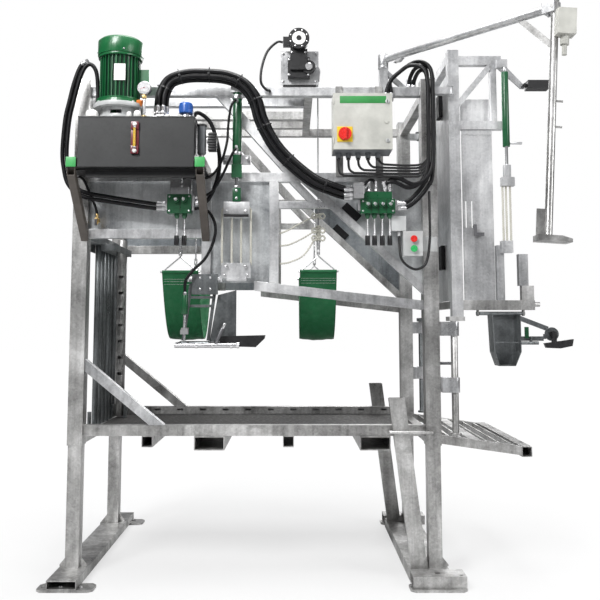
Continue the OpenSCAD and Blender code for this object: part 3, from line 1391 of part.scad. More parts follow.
module rear_hoist_cylinder() {
  color(green) difference() {
    rod_z(rh_x, rh_y, gate_top_z - 543, gate_top_z - 130, rear_hoist_d, 0, fn_big);
    translate([rh_x, rh_y, gate_top_z - 500]) cylinder(h = 360, d = rear_hoist_d - 8,
      $fn = fn_big);
    translate([rh_x, rh_y, gate_top_z - 560]) cylinder(h = 80, d = 16 + run_clear,
      $fn = fn_big);
  }
  color(grey) {
    rod_z(rh_x, rh_y, gate_top_z - 130 + g, gate_top_z - 104, 24);
    block(rh_x - 44, rh_x + 14, rh_y - 12, -hy - g, gate_top_z - 104 + g, gate_top_z - 60);
    rod_x(rh_x + rear_hoist_d / 2 + g, rh_x + 84, rh_y, gate_top_z - 524, 14);
    for (s = [-1, 1]) block(rh_x - 44, rh_x + 18, rh_y + (s < 0 ? -18 : 12), rh_y +
      (s < 0 ? -12 : 18), rear_low_z - 50, rear_low_z + 14);
    for (x = [-23, 3]) sheave(rh_x + x - 3, rh_y, rear_low_z - 12, 30);
    rod_y(rh_x - 26, rh_y - 24, rh_y + 24, rear_low_z - 12, 10);
    rod_y(rh_x, rh_y - 24, rh_y + 24, rear_low_z - 12, 10);
    block(rh_x - 44, rh_x + 18, rh_y + 18 + g, -hy - g, rear_low_z - 44, rear_low_z - 8);
  }
}

module rear_hoist_rod() {
  color([0.8, 0.81, 0.83]) {
    rod_z(rh_x, rh_y, gate_top_z - 644, gate_top_z - 360, 16, 0, fn_big);
    rod_z(rh_x, rh_y, gate_top_z - 372, gate_top_z - 352, rear_hoist_d - 8 - run_clear, 0,
      fn_big);
  }
  color(grey) {
    block(rh_x - 18, rh_x + 18, rh_y - 16, rh_y + 16, gate_top_z - 711,
      gate_top_z - 644 - g);
    block(rh_x - 34, rh_x + 36, rh_y - 18, rh_y + 18, rear_high_z, gate_top_z - 711 - g);
  }
}

module rear_hoist_ropes() {
  color([0.82, 0.8, 0.72]) for (x = [-22, -4, 18])
    rod_z(rh_x + x - 5, rh_y, rear_low_z + 14 + g, rear_high_z - g, tackle_d);
}

module rear_hoof_rest() {
  z = rear_rest_z;
  x0 = rest_x;
  color(darkz) {
    rod_x(x0 - 26, x0 + 234, return_y, z, 20);
    // bent trough under the return panel
    difference() {
      plate_xz([[x0 + 41, z - 4], [x0 + 192, z - 4], [x0 + 192, 1170], [x0 + 160, 1096],
        [x0 + 74, 1096], [x0 + 49, 1170]], return_y - 20, 100);
      plate_xz([[x0 + 41 + rest_plate_t, z], [x0 + 187, z], [x0 + 187, 1171],
        [x0 + 157, 1101], [x0 + 77, 1101], [x0 + 49 + rest_plate_t, 1171]],
        return_y - 23, 96);
    }
    block(x0 + 49, x0 + 190, return_y - 60, return_y - 56, 1216, 1222);
  }
  color(zinc) {
    slope_xz(x0 + 205, z - 26, x0 + 350, 1290, return_y - 10, 24, 20, 3, 0);
    block(x0 + 193, x0 + 330, return_y - 6, return_y + 4, 1226, 1250);
    difference() {
      rod_y(gate_x + 531, return_y - 8, return_y + 8, 1262, 72, 0, fn_big);
      rod_y(gate_x + 531, return_y - 20, return_y + 20, 1262, 34, 0, fn_big);
    }
    block(x0 + 330 + g, gate_x + 499, return_y - 6, return_y + 4, 1236, 1262);
    rod_x(gate_x + 348, gate_x + 452, return_y - 24, 1215, 18);
    for (x = [gate_x + 352, gate_x + 410]) block(x, x + 8, return_y - 30, return_y - 6 - g,
      1208, 1246);
  }
  color(green) block(gate_x + 384, gate_x + 406, return_y - 11.4, return_y - 6.4, 1240, 1300);
}

module rear_paddle() {
  color(black) {
    rod_y(gate_x + 531, return_y - 26, return_y + 24, 1262, 34 - run_clear, 0, fn_big);
    plate_xz([[gate_x + 476, 1214], [gate_x + 631, 1236], [gate_x + 624, 1200],
      [gate_x + 560, 1187], [gate_x + 486, 1190]], return_y - 38, 24);
    block(gate_x + 520, gate_x + 542, return_y - 50, return_y - 26, 1200, 1276);
  }
}

module gate_latch() {
  color(grey) {
    rod_x(hx + g, hx + 84, -hy + 45, 1106, 16);
    rod_z(hx + 76, -hy + 45, 1040, 1106, 16);
  }
}

module panel_latch() {
  color(grey) {
    rod_y(gate_x + 130, return_y - 16, return_y - 2 - g, 1842, 20);
    block(gate_x + 122, gate_x + 178, return_y - 26, return_y - 16, 1788, 1806);
    block(gate_x + 122, gate_x + 138, return_y - 26, return_y - 16, 1788, 1850);
  }
}

module work_lamp() {
  color(black) {
    translate([lamp_x + 76, return_y, lamp_z]) cube([120, 70, 44], center = true);
    rod_y(lamp_x, return_y - 28, return_y + 28, lamp_z, 14);
    block(lamp_x, lamp_x + 18, return_y - 16, return_y + 16, lamp_z - 6, lamp_z + 6);
  }
}

skids();
lift_barrels();
corner_posts();
side_rails();
roof_and_braces();
side_sheets();
rubber_pads();
platform_frame();
floor_mat();
entry_step();
head_gate_frame();
neck_bar();
lift_rods();
pack_bracket();
oil_tank();
tank_fittings();
pump_unit();
motor_body();
motor_rotor();
control_cabinet();
cabinet_door();
main_switch();
valve_banks();
front_lever_a();
front_lever_b();
rear_lever_a();
rear_lever_b();
rear_lever_c();
rear_lever_d();
button_box();
start_button();
stop_button();
hydraulic_hoses();
rest_hose();
cables();
winch_body();
winch_drum();
winch_rope();
winch_hook();
belly_band_front();
belly_band_rear();
band_rings();
boom_arm();
boom_hanger();
front_hoist_cylinder();
front_hoist_rod();
front_hoist_ropes();
front_hoof_rest();
front_paddle();
near_gate();
gate_buffers();
far_gate();
rear_hoist_cylinder();
rear_hoist_rod();
rear_hoist_ropes();
rear_hoof_rest();
rear_paddle();
gate_latch();
panel_latch();
work_lamp();
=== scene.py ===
"""Looks of the hoof trimming chute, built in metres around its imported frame.

X runs along the stall towards the entry, Y away from the working side, Z up.
"""
import math

import bmesh
import bpy
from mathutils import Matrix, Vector


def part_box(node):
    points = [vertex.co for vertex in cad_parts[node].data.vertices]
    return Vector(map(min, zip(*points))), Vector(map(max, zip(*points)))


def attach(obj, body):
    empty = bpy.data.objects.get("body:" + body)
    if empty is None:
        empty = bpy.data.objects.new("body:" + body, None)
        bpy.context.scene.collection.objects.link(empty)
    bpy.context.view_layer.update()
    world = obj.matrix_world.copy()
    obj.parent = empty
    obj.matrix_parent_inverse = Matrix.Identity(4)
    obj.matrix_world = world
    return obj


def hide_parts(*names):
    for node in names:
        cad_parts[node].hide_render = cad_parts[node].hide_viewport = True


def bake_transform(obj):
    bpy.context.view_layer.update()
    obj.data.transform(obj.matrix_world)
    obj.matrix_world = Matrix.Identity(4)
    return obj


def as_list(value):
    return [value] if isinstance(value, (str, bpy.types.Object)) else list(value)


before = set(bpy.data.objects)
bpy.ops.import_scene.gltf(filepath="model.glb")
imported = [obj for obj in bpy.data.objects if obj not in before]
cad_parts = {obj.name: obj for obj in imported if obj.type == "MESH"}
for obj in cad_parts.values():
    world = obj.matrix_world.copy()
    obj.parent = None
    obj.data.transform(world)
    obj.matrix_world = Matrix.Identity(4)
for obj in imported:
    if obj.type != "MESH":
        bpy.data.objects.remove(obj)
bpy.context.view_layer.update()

# Directions and places that several pieces share
X, Y, Z = Vector((1, 0, 0)), Vector((0, 1, 0)), Vector((0, 0, 1))
HALF_X, HALF_Y = 0.985, 0.505
BEAM_Z, LEVER_Z, ROOF_Z = 2.112, 1.890, 2.616
TANK_LOW, TANK_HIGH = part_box("oil_tank")
LID = Vector((0, -HALF_Y - 0.175, TANK_HIGH.z))
MOTOR = Vector((-0.705, LID.y, 2.427))
CABINET = Vector((0.566, -HALF_Y - 0.2, 2.215))
BUTTONS_Y, BUTTONS_Z = -HALF_Y - 0.06, 1.742
RAM_X, RAM_Y = -0.098, -HALF_Y - 0.035
TACKLE_LOW = 1.628
DRUM = Vector((0.290, -0.390, ROOF_Z + 0.094))
WIRE_PITCH = 0.0086
LINE_LOW, LINE_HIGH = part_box("winch_rope")
LINE_X, LINE_Y = (LINE_LOW.x + LINE_HIGH.x) / 2, (LINE_LOW.y + LINE_HIGH.y) / 2
HOSE_D, THIN_HOSE_D, ROPE_R = 0.022, 0.014, 0.0065


# Camera

def make_camera():
    data = bpy.data.cameras.new("camera")
    data.sensor_width, data.lens = 36, 46.86
    data.shift_x, data.shift_y = 0.0138, -0.085
    camera = bpy.data.objects.new("camera", data)
    camera.location = (0.197, -4.686, 1.316)
    camera.rotation_euler = (math.radians(95.48), 0, 0)
    bpy.context.scene.collection.objects.link(camera)
    bpy.context.scene.camera = camera


make_camera()


# Materials

def tone(colour, factor, lift=0.0):
    return tuple(min(1.0, c * factor + lift) for c in colour)


class Nodes:
    """A node tree, with the few calls that the recipes below need."""

    def __init__(self, owner):
        owner.use_nodes = True
        self.tree = owner.node_tree

    def add(self, kind, **values):
        node = self.tree.nodes.new("ShaderNode" + kind)
        for name, value in values.items():
            setattr(node, name, value)
        return node

    def plug(self, source, target):
        if isinstance(source, bpy.types.NodeSocket):
            self.tree.links.new(source, target)
        elif isinstance(source, tuple):
            target.default_value = (*source, 1)
        else:
            target.default_value = source

    def maths(self, how, *sources):
        node = self.add("Math", operation=how)
        for socket, source in zip(node.inputs, sources):
            self.plug(source, socket)
        return node.outputs[0]

    def plus(self, a, b):
        return self.maths("ADD", a, b)

    def times(self, a, b):
        return self.maths("MULTIPLY", a, b)

    def part(self, vector, axis):
        node = self.add("SeparateXYZ")
        self.plug(vector, node.inputs[0])
        return node.outputs[axis]

    def ramp(self, source, *stops):
        node = self.add("ValToRGB")
        self.plug(source, node.inputs["Fac"])
        marks = node.color_ramp.elements
        while len(marks) < len(stops):
            marks.new(0.5)
        for mark, (place, value) in zip(marks, stops):
            mark.position = place
            mark.color = (*(value if isinstance(value, tuple) else (value,) * 3), 1)
        return node.outputs["Color"]

    def seen(self):
        """1 for what the camera sees, directly or through glass."""
        path = self.add("LightPath")
        return self.maths("MAXIMUM", path.outputs["Is Camera Ray"],
                          path.outputs["Is Transmission Ray"])

    def end(self, output, share, first, second):
        """The tree's output: a mix of two shaders."""
        mixer = self.add("MixShader")
        for socket, source in zip(mixer.inputs, (share, first, second)):
            self.plug(source, socket)
        self.plug(mixer.outputs[0], self.tree.nodes[output].inputs["Surface"])


class Look(Nodes):
    """A material, with its object's own coordinates ready in where."""

    def __init__(self, name, colour=(0.5, 0.5, 0.5), rough=0.5, metal=0.0, **sockets):
        self.material = bpy.data.materials.new(name)
        super().__init__(self.material)
        self.shader = self.tree.nodes["Principled BSDF"]
        self.where = self.add("TexCoord").outputs["Object"]
        for socket, value in (("Base Color", (*colour, 1)), ("Roughness", rough),
                              ("Metallic", metal), *sockets.items()):
            self.shader.inputs[socket.replace("_", " ")].default_value = value

    def mapped(self, socket, value, source=None):
        node = self.add("Mapping")
        self.plug(source or self.where, node.inputs["Vector"])
        node.inputs[socket].default_value = value
        return node.outputs["Vector"]

    def noise(self, scale, detail=4.0, rough=0.55, where=None, twist=0.0):
        node = self.add("TexNoise")
        for name, value in (("Vector", where or self.where), ("Scale", scale),
                            ("Detail", detail), ("Roughness", rough), ("Distortion", twist)):
            self.plug(value, node.inputs[name])
        return node.outputs["Fac"]

    def cells(self, scale, where):
        node = self.add("TexVoronoi")
        self.plug(where, node.inputs["Vector"])
        node.inputs["Scale"].default_value = scale
        split = self.add("SeparateColor")
        self.plug(node.outputs["Color"], split.inputs[0])
        return split.outputs[0]

    def mix(self, share, a, b):
        node = self.add("Mix", data_type="RGBA")
        for name, source in (("Factor", share), ("A", a), ("B", b)):
            self.plug(source, [s for s in node.inputs if s.name == name and s.enabled][0])
        return [s for s in node.outputs if s.enabled][0]

    def settled(self, start, dust, grain):
        """Share of dust: on what faces up, in patches."""
        up = self.part(self.add("NewGeometry").outputs["Normal"], "Z")
        return self.times(self.ramp(up, (start, 0.0), (1.0, dust)), grain)

    def colour(self, source):
        self.plug(source, self.shader.inputs["Base Color"])

    def roughness(self, source, low, high, start=0.3):
        """Roughness from low to high over the middle of the source's range."""
        self.plug(self.ramp(source, (start, low), (1 - start, high)),
                  self.shader.inputs["Roughness"])

    def bump(self, height, strength, distance):
        node = self.add("Bump")
        for name, value in (("Strength", strength), ("Distance", distance),
                            ("Height", height)):
            self.plug(value, node.inputs[name])
        before = self.shader.inputs["Normal"]
        if before.links:
            self.plug(before.links[0].from_socket, node.inputs["Normal"])
        self.plug(node.outputs["Normal"], before)


def zinc(name, deep, middle, pale, metal=0.8, drift=(0, 0, 0)):
    """Hot dip galvanising: faint spangle, cloudy patches, runs, oxide bloom, grime."""
    m = Look(name, rough=0.4, metal=metal)
    where = m.mapped("Location", drift)
    spangle = m.cells(105, where)
    patches = m.noise(2.2, 8, 0.6, where, 0.9)
    runs = m.noise(1.0, 6, 0.62, m.mapped("Scale", (22, 22, 1.3), where), 0.3)
    flecks = m.noise(150, 3, 0.6, where)
    share = m.plus(m.times(patches, 0.62), m.times(runs, 0.34))
    share = m.plus(share, m.times(spangle, 0.05))
    base = m.ramp(share, (0.36, deep), (0.5, middle), (0.66, pale))
    bloom = m.ramp(m.noise(7, 9, 0.72, where, 1.6), (0.58, 0.0), (0.72, 0.4))
    base = m.mix(bloom, base, tone(pale, 1.15))
    low = m.ramp(m.noise(3.1, 9, 0.75, m.mapped("Scale", (1, 1, 0.6), where), 0.5),
                 (0.55, 0.0), (0.68, 0.62))
    m.colour(m.mix(low, base, tone(deep, 0.62)))
    m.roughness(m.plus(m.times(patches, 0.6), m.times(flecks, 0.4)), 0.27, 0.5, 0.35)
    m.bump(spangle, 0.03, 0.0006)
    m.bump(flecks, 0.12, 0.0006)
    m.bump(runs, 0.16, 0.003)
    return m.material


def paint(name, colour, rough=0.36, dust=0.3, coat=0.25):
    """Sprayed enamel: slight orange peel, uneven shade, dust on what faces up."""
    m = Look(name, colour, rough, Coat_Weight=coat, Coat_Roughness=0.2)
    shade = m.ramp(m.noise(9, 6, 0.6), (0.3, tone(colour, 0.8)),
                   (0.7, tone(colour, 1.14, 0.004)))
    m.colour(m.mix(m.settled(0.55, dust, m.noise(38, 6, 0.7)), shade, (0.5, 0.48, 0.44)))
    m.roughness(m.noise(60, 4, 0.6), rough * 0.8, rough * 1.35)
    m.bump(m.noise(420, 2, 0.5), 0.1, 0.0004)
    m.bump(m.noise(45, 3, 0.5), 0.08, 0.001)
    return m.material


def steel(name, colour=(0.55, 0.55, 0.56), rough=0.34, along=(6, 6, 400)):
    """Machined or plated steel with fine turning marks."""
    m = Look(name, colour, rough, 1.0)
    marks = m.noise(1.0, 3, 0.6, m.mapped("Scale", along))
    m.colour(m.mix(m.ramp(m.noise(22, 6, 0.65), (0.45, 0.0), (0.75, 0.6)), colour,
                   tone(colour, 0.5)))
    m.roughness(marks, rough * 0.75, rough * 1.5)
    m.bump(marks, 0.12, 0.0003)
    return m.material


def rubber(name, colour=(0.007, 0.007, 0.008), rough=0.52, dust=0.12, grain=260):
    m = Look(name, colour, rough, Specular_IOR_Level=0.22)
    worn = m.ramp(m.noise(26, 7, 0.7), (0.48, 0.0), (0.78, 0.5))
    m.colour(m.mix(m.settled(0.5, dust, m.noise(16, 5, 0.6)),
                   m.mix(worn, colour, tone(colour, 2.2, 0.008)), (0.3, 0.28, 0.25)))
    m.roughness(m.noise(50), rough * 0.8, rough * 1.3)
    m.bump(m.noise(grain, 3, 0.6), 0.16, 0.0005)
    return m.material


def moulded(name, colour, rough=0.3):
    m = Look(name, colour, rough, Coat_Weight=0.06, Coat_Roughness=0.15)
    m.colour(m.ramp(m.noise(14, 5), (0.3, tone(colour, 0.85)), (0.7, tone(colour, 1.1))))
    m.roughness(m.noise(90, 3), rough * 0.8, rough * 1.3)
    m.bump(m.noise(700, 2), 0.08, 0.0002)
    return m.material


def fibre(name, colour, dark):
    """Braided rope: fine yarns over the modelled strands, soiled in places."""
    m = Look(name, colour, 0.86, Sheen_Weight=0.3, Sheen_Roughness=0.5)
    yarn = m.noise(1.0, 3, 0.6, m.mapped("Scale", (900, 900, 260)))
    soil = m.ramp(m.noise(18, 6, 0.65), (0.42, 0.0), (0.74, 0.75))
    m.colour(m.mix(soil, m.ramp(yarn, (0.3, tone(colour, 0.72)), (0.65, colour)), dark))
    m.bump(yarn, 0.5, 0.0008)
    return m.material


def webbing(name, colour, edge, width):
    """Woven band: UV in metres, u across and v along the band."""
    m = Look(name, colour, 0.72, Sheen_Weight=0.12, Sheen_Roughness=0.4)
    uv = m.add("TexCoord").outputs["UV"]
    weft, warp = (m.maths("SINE", m.times(m.part(uv, axis), 2 * math.pi / pitch))
                  for axis, pitch in (("Y", 0.0042), ("X", 0.0036)))
    lift = m.plus(m.times(m.times(weft, warp), 0.5), 0.5)
    band = m.ramp(m.times(m.part(uv, "X"), 1 / width), (0.0, 1.0), (0.035, 0.0),
                  (0.965, 0.0), (1.0, 1.0))
    shade = m.mix(band, m.ramp(lift, (0.2, tone(colour, 0.62)), (0.8, colour)), edge)
    worn = m.ramp(m.noise(12, 7, 0.66), (0.5, 0.0), (0.8, 0.4))
    m.colour(m.mix(worn, shade, tone(colour, 1.5, 0.02)))
    m.roughness(m.noise(30, 5), 0.55, 0.85)
    m.bump(lift, 0.42, 0.0012)
    m.bump(m.noise(8), 0.3, 0.004)
    return m.material


def glass(name, colour, rough=0.05, clear=0.9):
    m = Look(name, colour, rough, Transmission_Weight=clear, IOR=1.45)
    m.bump(m.noise(30, 2), 0.03, 0.0005)
    return m.material


BAND_W, BAND_T, LIP_Z, EYE_Z, SAG = 0.205, 0.006, 1.600, 1.706, 0.375
# Copies of one zinc finish at different brightness. Where the rails, roof, sheets and near
# gate are split between them, the paler copy on near and upper parts is painted light and the
# darker copies on far and lower parts are painted shade.
ZINC = zinc("galvanised", (0.16, 0.158, 0.155), (0.41, 0.407, 0.4), (0.76, 0.757, 0.75))
ZINC_PALE = zinc("galvanised_pale", (0.33, 0.335, 0.345), (0.6, 0.605, 0.615),
                 (0.88, 0.885, 0.89), 0.76, (3, 1, 2))
ZINC_SHEET = zinc("galvanised_sheet", (0.32, 0.335, 0.35), (0.6, 0.62, 0.63),
                  (0.88, 0.9, 0.91), 0.8, (7, 2, 5))
# Painted shade: a darkened copy of the sheet zinc, for the far side sheets.
ZINC_PAINTED_SHADE = zinc("galvanised_shaded", (0.12, 0.13, 0.14), (0.24, 0.26, 0.275),
                (0.4, 0.42, 0.435), 0.8, (2, 6, 1))
# Darkest zinc copy, for the head gate frame, the hoof rests and the far gate; on the far gate
# it is painted shade.
ZINC_DARK = zinc("dark_zinc", (0.07, 0.075, 0.075), (0.15, 0.16, 0.165),
                 (0.27, 0.285, 0.29), 0.75, (1, 5, 3))
CHARCOAL = paint("charcoal_paint", (0.012, 0.013, 0.0135), 0.46, 0.12, 0.05)
GREEN = paint("green_paint", (0.003, 0.075, 0.024), 0.32, 0.1, 0.2)
LEAF_GREEN = paint("motor_green_paint", (0.002, 0.105, 0.028), 0.34, 0.12, 0.3)
# Painted shade: a darker copy of the motor green, for the grooves between the fins.
GREEN_PAINTED_SHADE = paint("green_painted_shade", (0.004, 0.045, 0.02), 0.42, 0.15, 0.2)
EARTH = paint("brown_grey_paint", (0.085, 0.072, 0.062), 0.5, 0.2, 0.05)
CREAM = paint("cream_paint", (0.47, 0.47, 0.435), 0.42, 0.08, 0.12)
GREY = paint("grey_paint", (0.13, 0.14, 0.15), 0.45, 0.3, 0.1)
PALE_GREY = paint("pale_grey_paint", (0.46, 0.47, 0.47), 0.42, 0.25, 0.1)
BLACK = paint("black_paint", (0.006, 0.006, 0.007), 0.42, 0.12, 0.1)
MAROON = paint("maroon_paint", (0.13, 0.012, 0.02), 0.35, 0.15, 0.3)
ORANGE = paint("orange_paint", (0.72, 0.2, 0.03), 0.4, 0.2, 0.2)
STEEL = steel("machined_steel")
BRIGHT = steel("plated_steel", (0.7, 0.7, 0.71), 0.28)
TOOL = steel("worn_steel", (0.2, 0.2, 0.21), 0.42)
CHROME = steel("chrome_rod", (0.86, 0.87, 0.88), 0.09, (3, 3, 500))
BRASS = steel("brass", (0.66, 0.47, 0.2), 0.3)
WIRE = steel("wire_rope", (0.36, 0.36, 0.37), 0.45, (500, 500, 60))
RUBBER = rubber("black_rubber")
HOSE = rubber("hose_cover", (0.005, 0.005, 0.006), 0.4, 0.1, 420)
MAT = rubber("floor_rubber", (0.009, 0.009, 0.01), 0.66, 0.12, 120)
PLASTIC = moulded("black_plastic", (0.006, 0.006, 0.007), 0.4)
CABLE = moulded("cable_sheath", (0.005, 0.005, 0.006), 0.42)
RED = moulded("red_plastic", (0.62, 0.025, 0.02), 0.25)
LEAF = moulded("green_plastic", (0.03, 0.36, 0.1), 0.25)
MINT = moulded("pale_green_plastic", (0.05, 0.33, 0.09), 0.4)
DARK_RED = moulded("dark_red_plastic", (0.24, 0.006, 0.008))
BLUE = moulded("blue_plastic", (0.015, 0.09, 0.36))
STRIP = moulded("header_strip", (0.035, 0.24, 0.06), 0.4)
YELLOW = moulded("yellow_plastic", (0.8, 0.55, 0.03), 0.35)
WHITE = moulded("white_plastic", (0.78, 0.78, 0.76), 0.4)
ROPE = fibre("pale_rope", (0.56, 0.55, 0.49), (0.36, 0.35, 0.29))
WEB = webbing("green_webbing", (0.001, 0.13, 0.038), (0.001, 0.06, 0.018), BAND_W)
GLASS = glass("gauge_glass", (1, 1, 1))
OIL = glass("oil_in_tube", (0.85, 0.6, 0.1), 0.1, 0.5)


# Lines and circles

def metres(*points):
    return [Vector(p) / 1000 for p in points]


def curve(points, steps=6):
    """Smooth line through the points, the curve that the frame's own hoses follow."""
    out, n = [], len(points)
    for i in range(n - 1):
        a, b, c, d = (points[max(0, min(n - 1, i + k))] for k in (-1, 0, 1, 2))
        for j in range(steps):
            t = j / steps
            out.append(0.5 * (2 * b + (c - a) * t + (2 * a - 5 * b + 4 * c - d) * t * t
                              + (3 * b - a - 3 * c + d) * t ** 3))
    return out + [points[-1]]


def straight(a, b, steps):
    return [Vector(a).lerp(Vector(b), i / steps) for i in range(steps + 1)]


def tangent(points, i):
    return points[min(i + 1, len(points) - 1)] - points[max(i - 1, 0)]


def sideways(points, i):
    """Across a line at its point i, in the XZ plane."""
    t = tangent(points, i)
    return Vector((-t.z, 0, t.x)).normalized()


def beside(points, across, outward=0.0):
    return [p + Y * outward + sideways(points, i) * across for i, p in enumerate(points)]


def circle(count, u=X, w=Y, first=0.0, extra=0):
    """Unit vectors evenly round a circle; one extra closes it."""
    angles = (math.radians(first) + 2 * math.pi * k / count for k in range(count + extra))
    return [u * math.cos(a) + w * math.sin(a) for a in angles]


def rails(path, start):
    """Each point of a path, with two directions across it that hardly twist."""
    side = Vector(start)
    for i, p in enumerate(path):
        t = tangent(path, i).normalized()
        side = (side - t * side.dot(t)).normalized()
        yield p, side, t.cross(side)


def shell(sides, rings, caps=True):
    """Faces between rings of points, and across both ends."""
    last = (rings - 1) * sides
    faces = [(i + k, i + (k + 1) % sides, i + sides + (k + 1) % sides, i + sides + k)
             for i in range(0, last, sides) for k in range(sides)]
    if caps:
        faces += [tuple(reversed(range(sides))), tuple(range(last, last + sides))]
    return faces


# Own pieces

class Piece:
    """Collects parts of one mesh piece, each with its material, round an origin."""

    def __init__(self, name, origin=(0, 0, 0)):
        self.name, self.mesh, self.looks = name, bmesh.new(), []
        self.origin = Vector(origin)
        self.uv = self.mesh.loops.layers.uv.new("UVMap")

    def faces_of(self, points, faces, material, uvs=None):
        if material not in self.looks:
            self.looks.append(material)
        made = [self.mesh.verts.new(self.origin + Vector(p)) for p in points]
        for i, f in enumerate(faces):
            face = self.mesh.faces.new([made[v] for v in f])
            face.material_index, face.smooth = self.looks.index(material), True
            if uvs:
                for loop, uv in zip(face.loops, uvs[i]):
                    loop[self.uv].uv = uv

    def block(self, low, high, material, edge=0.0015):
        low, high = Vector(low), Vector(high)
        part = bmesh.new()
        bmesh.ops.create_cube(part, size=1)
        for v in part.verts:
            v.co = (low + high) / 2 + v.co * (high - low)
        bmesh.ops.bevel(part, geom=part.edges[:], offset=edge, segments=2, profile=0.6,
                        affect="EDGES")
        part.verts.index_update()
        self.faces_of([v.co for v in part.verts],
                      [[v.index for v in f.verts] for f in part.faces], material)
        part.free()

    def lathe(self, base, axis, profile, material, sides=32, ring=False):
        """Turned shape: profile is (height along axis, radius) from end to end.

        Its two ends are capped, or joined through the bore where it is a ring.
        """
        base, axis = Vector(base), Vector(axis).normalized()
        u = axis.orthogonal().normalized()
        spokes = circle(sides, u, axis.cross(u))
        faces = shell(sides, len(profile), not ring)
        if ring:
            last = (len(profile) - 1) * sides
            faces += [(last + k, last + (k + 1) % sides, (k + 1) % sides, k)
                      for k in range(sides)]
        self.faces_of([base + axis * h + d * r for h, r in profile for d in spokes], faces,
                      material)

    def rod(self, base, axis, length, radius, material, sides=32, edge=0.001):
        edge = min(edge, radius * 0.4, length * 0.4)
        self.lathe(base, axis, [(0, radius - edge), (edge * 0.3, radius - edge * 0.3),
                                (edge, radius), (length - edge, radius),
                                (length - edge * 0.3, radius - edge * 0.3),
                                (length, radius - edge)], material, sides)

    def hexagon(self, base, axis, length, radius, material=None):
        self.rod(base, axis, length, radius, material or BRIGHT, 6, 0.0012)

    def bolts(self, axis, size, *places):
        """Washer and hexagon head at each place."""
        axis = Vector(axis).normalized()
        for place in places:
            place = Vector(place)
            self.rod(place, axis, size * 0.16, size * 1.05, BRIGHT, 20, 0.0004)
            self.hexagon(place + axis * size * 0.16, axis, size * 0.65, size * 0.88)

    def tube(self, path, radius, material, sides=12, caps=True, start=(0, 1, 0.01)):
        """Tube along a path, with UV: u round it and v along it in metres."""
        path = [Vector(p) for p in path]
        points = [p + d * radius for p, side, other in rails(path, start)
                  for d in circle(sides, side, other)]
        uvs, far = [], 0.0
        for a, b in zip(path, path[1:]):
            end = far + (b - a).length
            uvs += [((k / sides, far), ((k + 1) / sides, far), ((k + 1) / sides, end),
                     (k / sides, end)) for k in range(sides)]
            far = end
        uvs += [[(0, 0)] * sides, [(0, far)] * sides]
        self.faces_of(points, shell(sides, len(path), caps), material, uvs)

    def strands(self, path, radius, material=None, count=3, pitch=0.034, thick=0.54,
                sides=8):
        """Twisted rope: strands wound round the path as real tubes."""
        for s in range(count):
            line, far = [], 0.0
            for i, (p, side, other) in enumerate(rails(path, (0.1, 1, 0.03))):
                far += (p - path[max(i - 1, 0)]).length
                a = 2 * math.pi * (s / count + far / pitch)
                line.append(p + (side * math.cos(a) + other * math.sin(a))
                            * radius * (1 - thick))
            self.tube(line, radius * thick, material or ROPE, sides)

    def done(self, body=None, replaces=(), slot=None, sharp=35):
        bmesh.ops.recalc_face_normals(self.mesh, faces=self.mesh.faces)
        for e in self.mesh.edges:
            if len(e.link_faces) == 2 and e.calc_face_angle(0) > math.radians(sharp):
                e.smooth = False
        data = bpy.data.meshes.new(self.name)
        self.mesh.to_mesh(data)
        self.mesh.free()
        for m in self.looks:
            data.materials.append(m)
        made = bpy.data.objects.new(self.name, data)
        bpy.context.scene.collection.objects.link(made)
        if body:
            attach(made, body)
        if replaces:
            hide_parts(*replaces)
        return made


def declare(path, thick):
    """Works out a soft line's length and its points as tuples, and keeps none of them."""
    length = sum((b - a).length for a, b in zip(path, path[1:]))
    tuple(path[0])
    [tuple(p) for p in path]


# Hydraulic hoses: routes in millimetres, as in the frame's source

BUNDLE = ((0, 0), (0.027, 0), (-0.027, 0), (0.014, -0.026), (-0.014, -0.026))
MAIN = metres((-490, -655, 2409.6), (-490, -655, 2462), (-482, -649, 2532),
              (-446, -637, 2600), (-366, -619, 2634), (-262, -605, 2642),
              (-150, -595, 2634), (-60, -591, 2592), (2, -590, 2508), (40, -590, 2388),
              (130, -590, 2234), (290, -592, 2088), (410, -596, 2030), (482, -598, 2007),
              (519.2, -598, 2007))
POST = metres((759, -572, 1940), (800, -572, 1944), (850, -572, 1977), (912, -570, 2052),
              (940, -560, 2132), (947, -560, 2436), (944, -556, 2666), (920, -545, 2704),
              (884, -520, 2700), (863, -492, 2666), (858, -468, 2634), (858, -467, 2618.2))
LEFT = metres((-840, -595, 2396.8), (-840, -595, 2436), (-842, -598, 2566),
              (-852, -601, 2662), (-882, -603, 2704), (-915, -604, 2684),
              (-945, -603, 2606), (-971, -601, 2496), (-990, -600, 2400),
              (-1000, -600, 2240), (-992, -600, 2150), (-968, -600, 2066),
              (-905, -600, 2012), (-764, -590, 1985), (-600, -575, 1962),
              (-520, -570, 1952), (-476, -569, 1951))
RIGHT = metres((-330, -595, 2396.8), (-330, -595, 2418), (-300, -586, 2442),
               (-236, -576, 2386), (-196, -570, 2250), (-190, -568, 2150),
               (-212, -566, 2050), (-250, -564, 1975), (-290, -562, 1957),
               (-319, -562, 1955))
REST = metres((-319, -566, 1926), (-290, -566, 1928), (-240, -566, 1905),
              (-208, -566, 1830), (-222, -566, 1740), (-262, -566, 1660),
              (-322, -566, 1600), (-360, -566, 1550), (-366, -566, 1510),
              (-366, -566, 1485))
ENTRY = metres((694, -582, 2026), (704, -592, 2056), (752, -606, 2064), (824, -604, 2034),
               (890, -600, 2062), (930, -590, 2140), (941, -586, 2300), (941, -586, 2480),
               (938, -583, 2640), (908, -569, 2702), (850, -548, 2716), (790, -526, 2690),
               (738, -512, 2640), (716, -506, 2580), (713, -506, 2530))
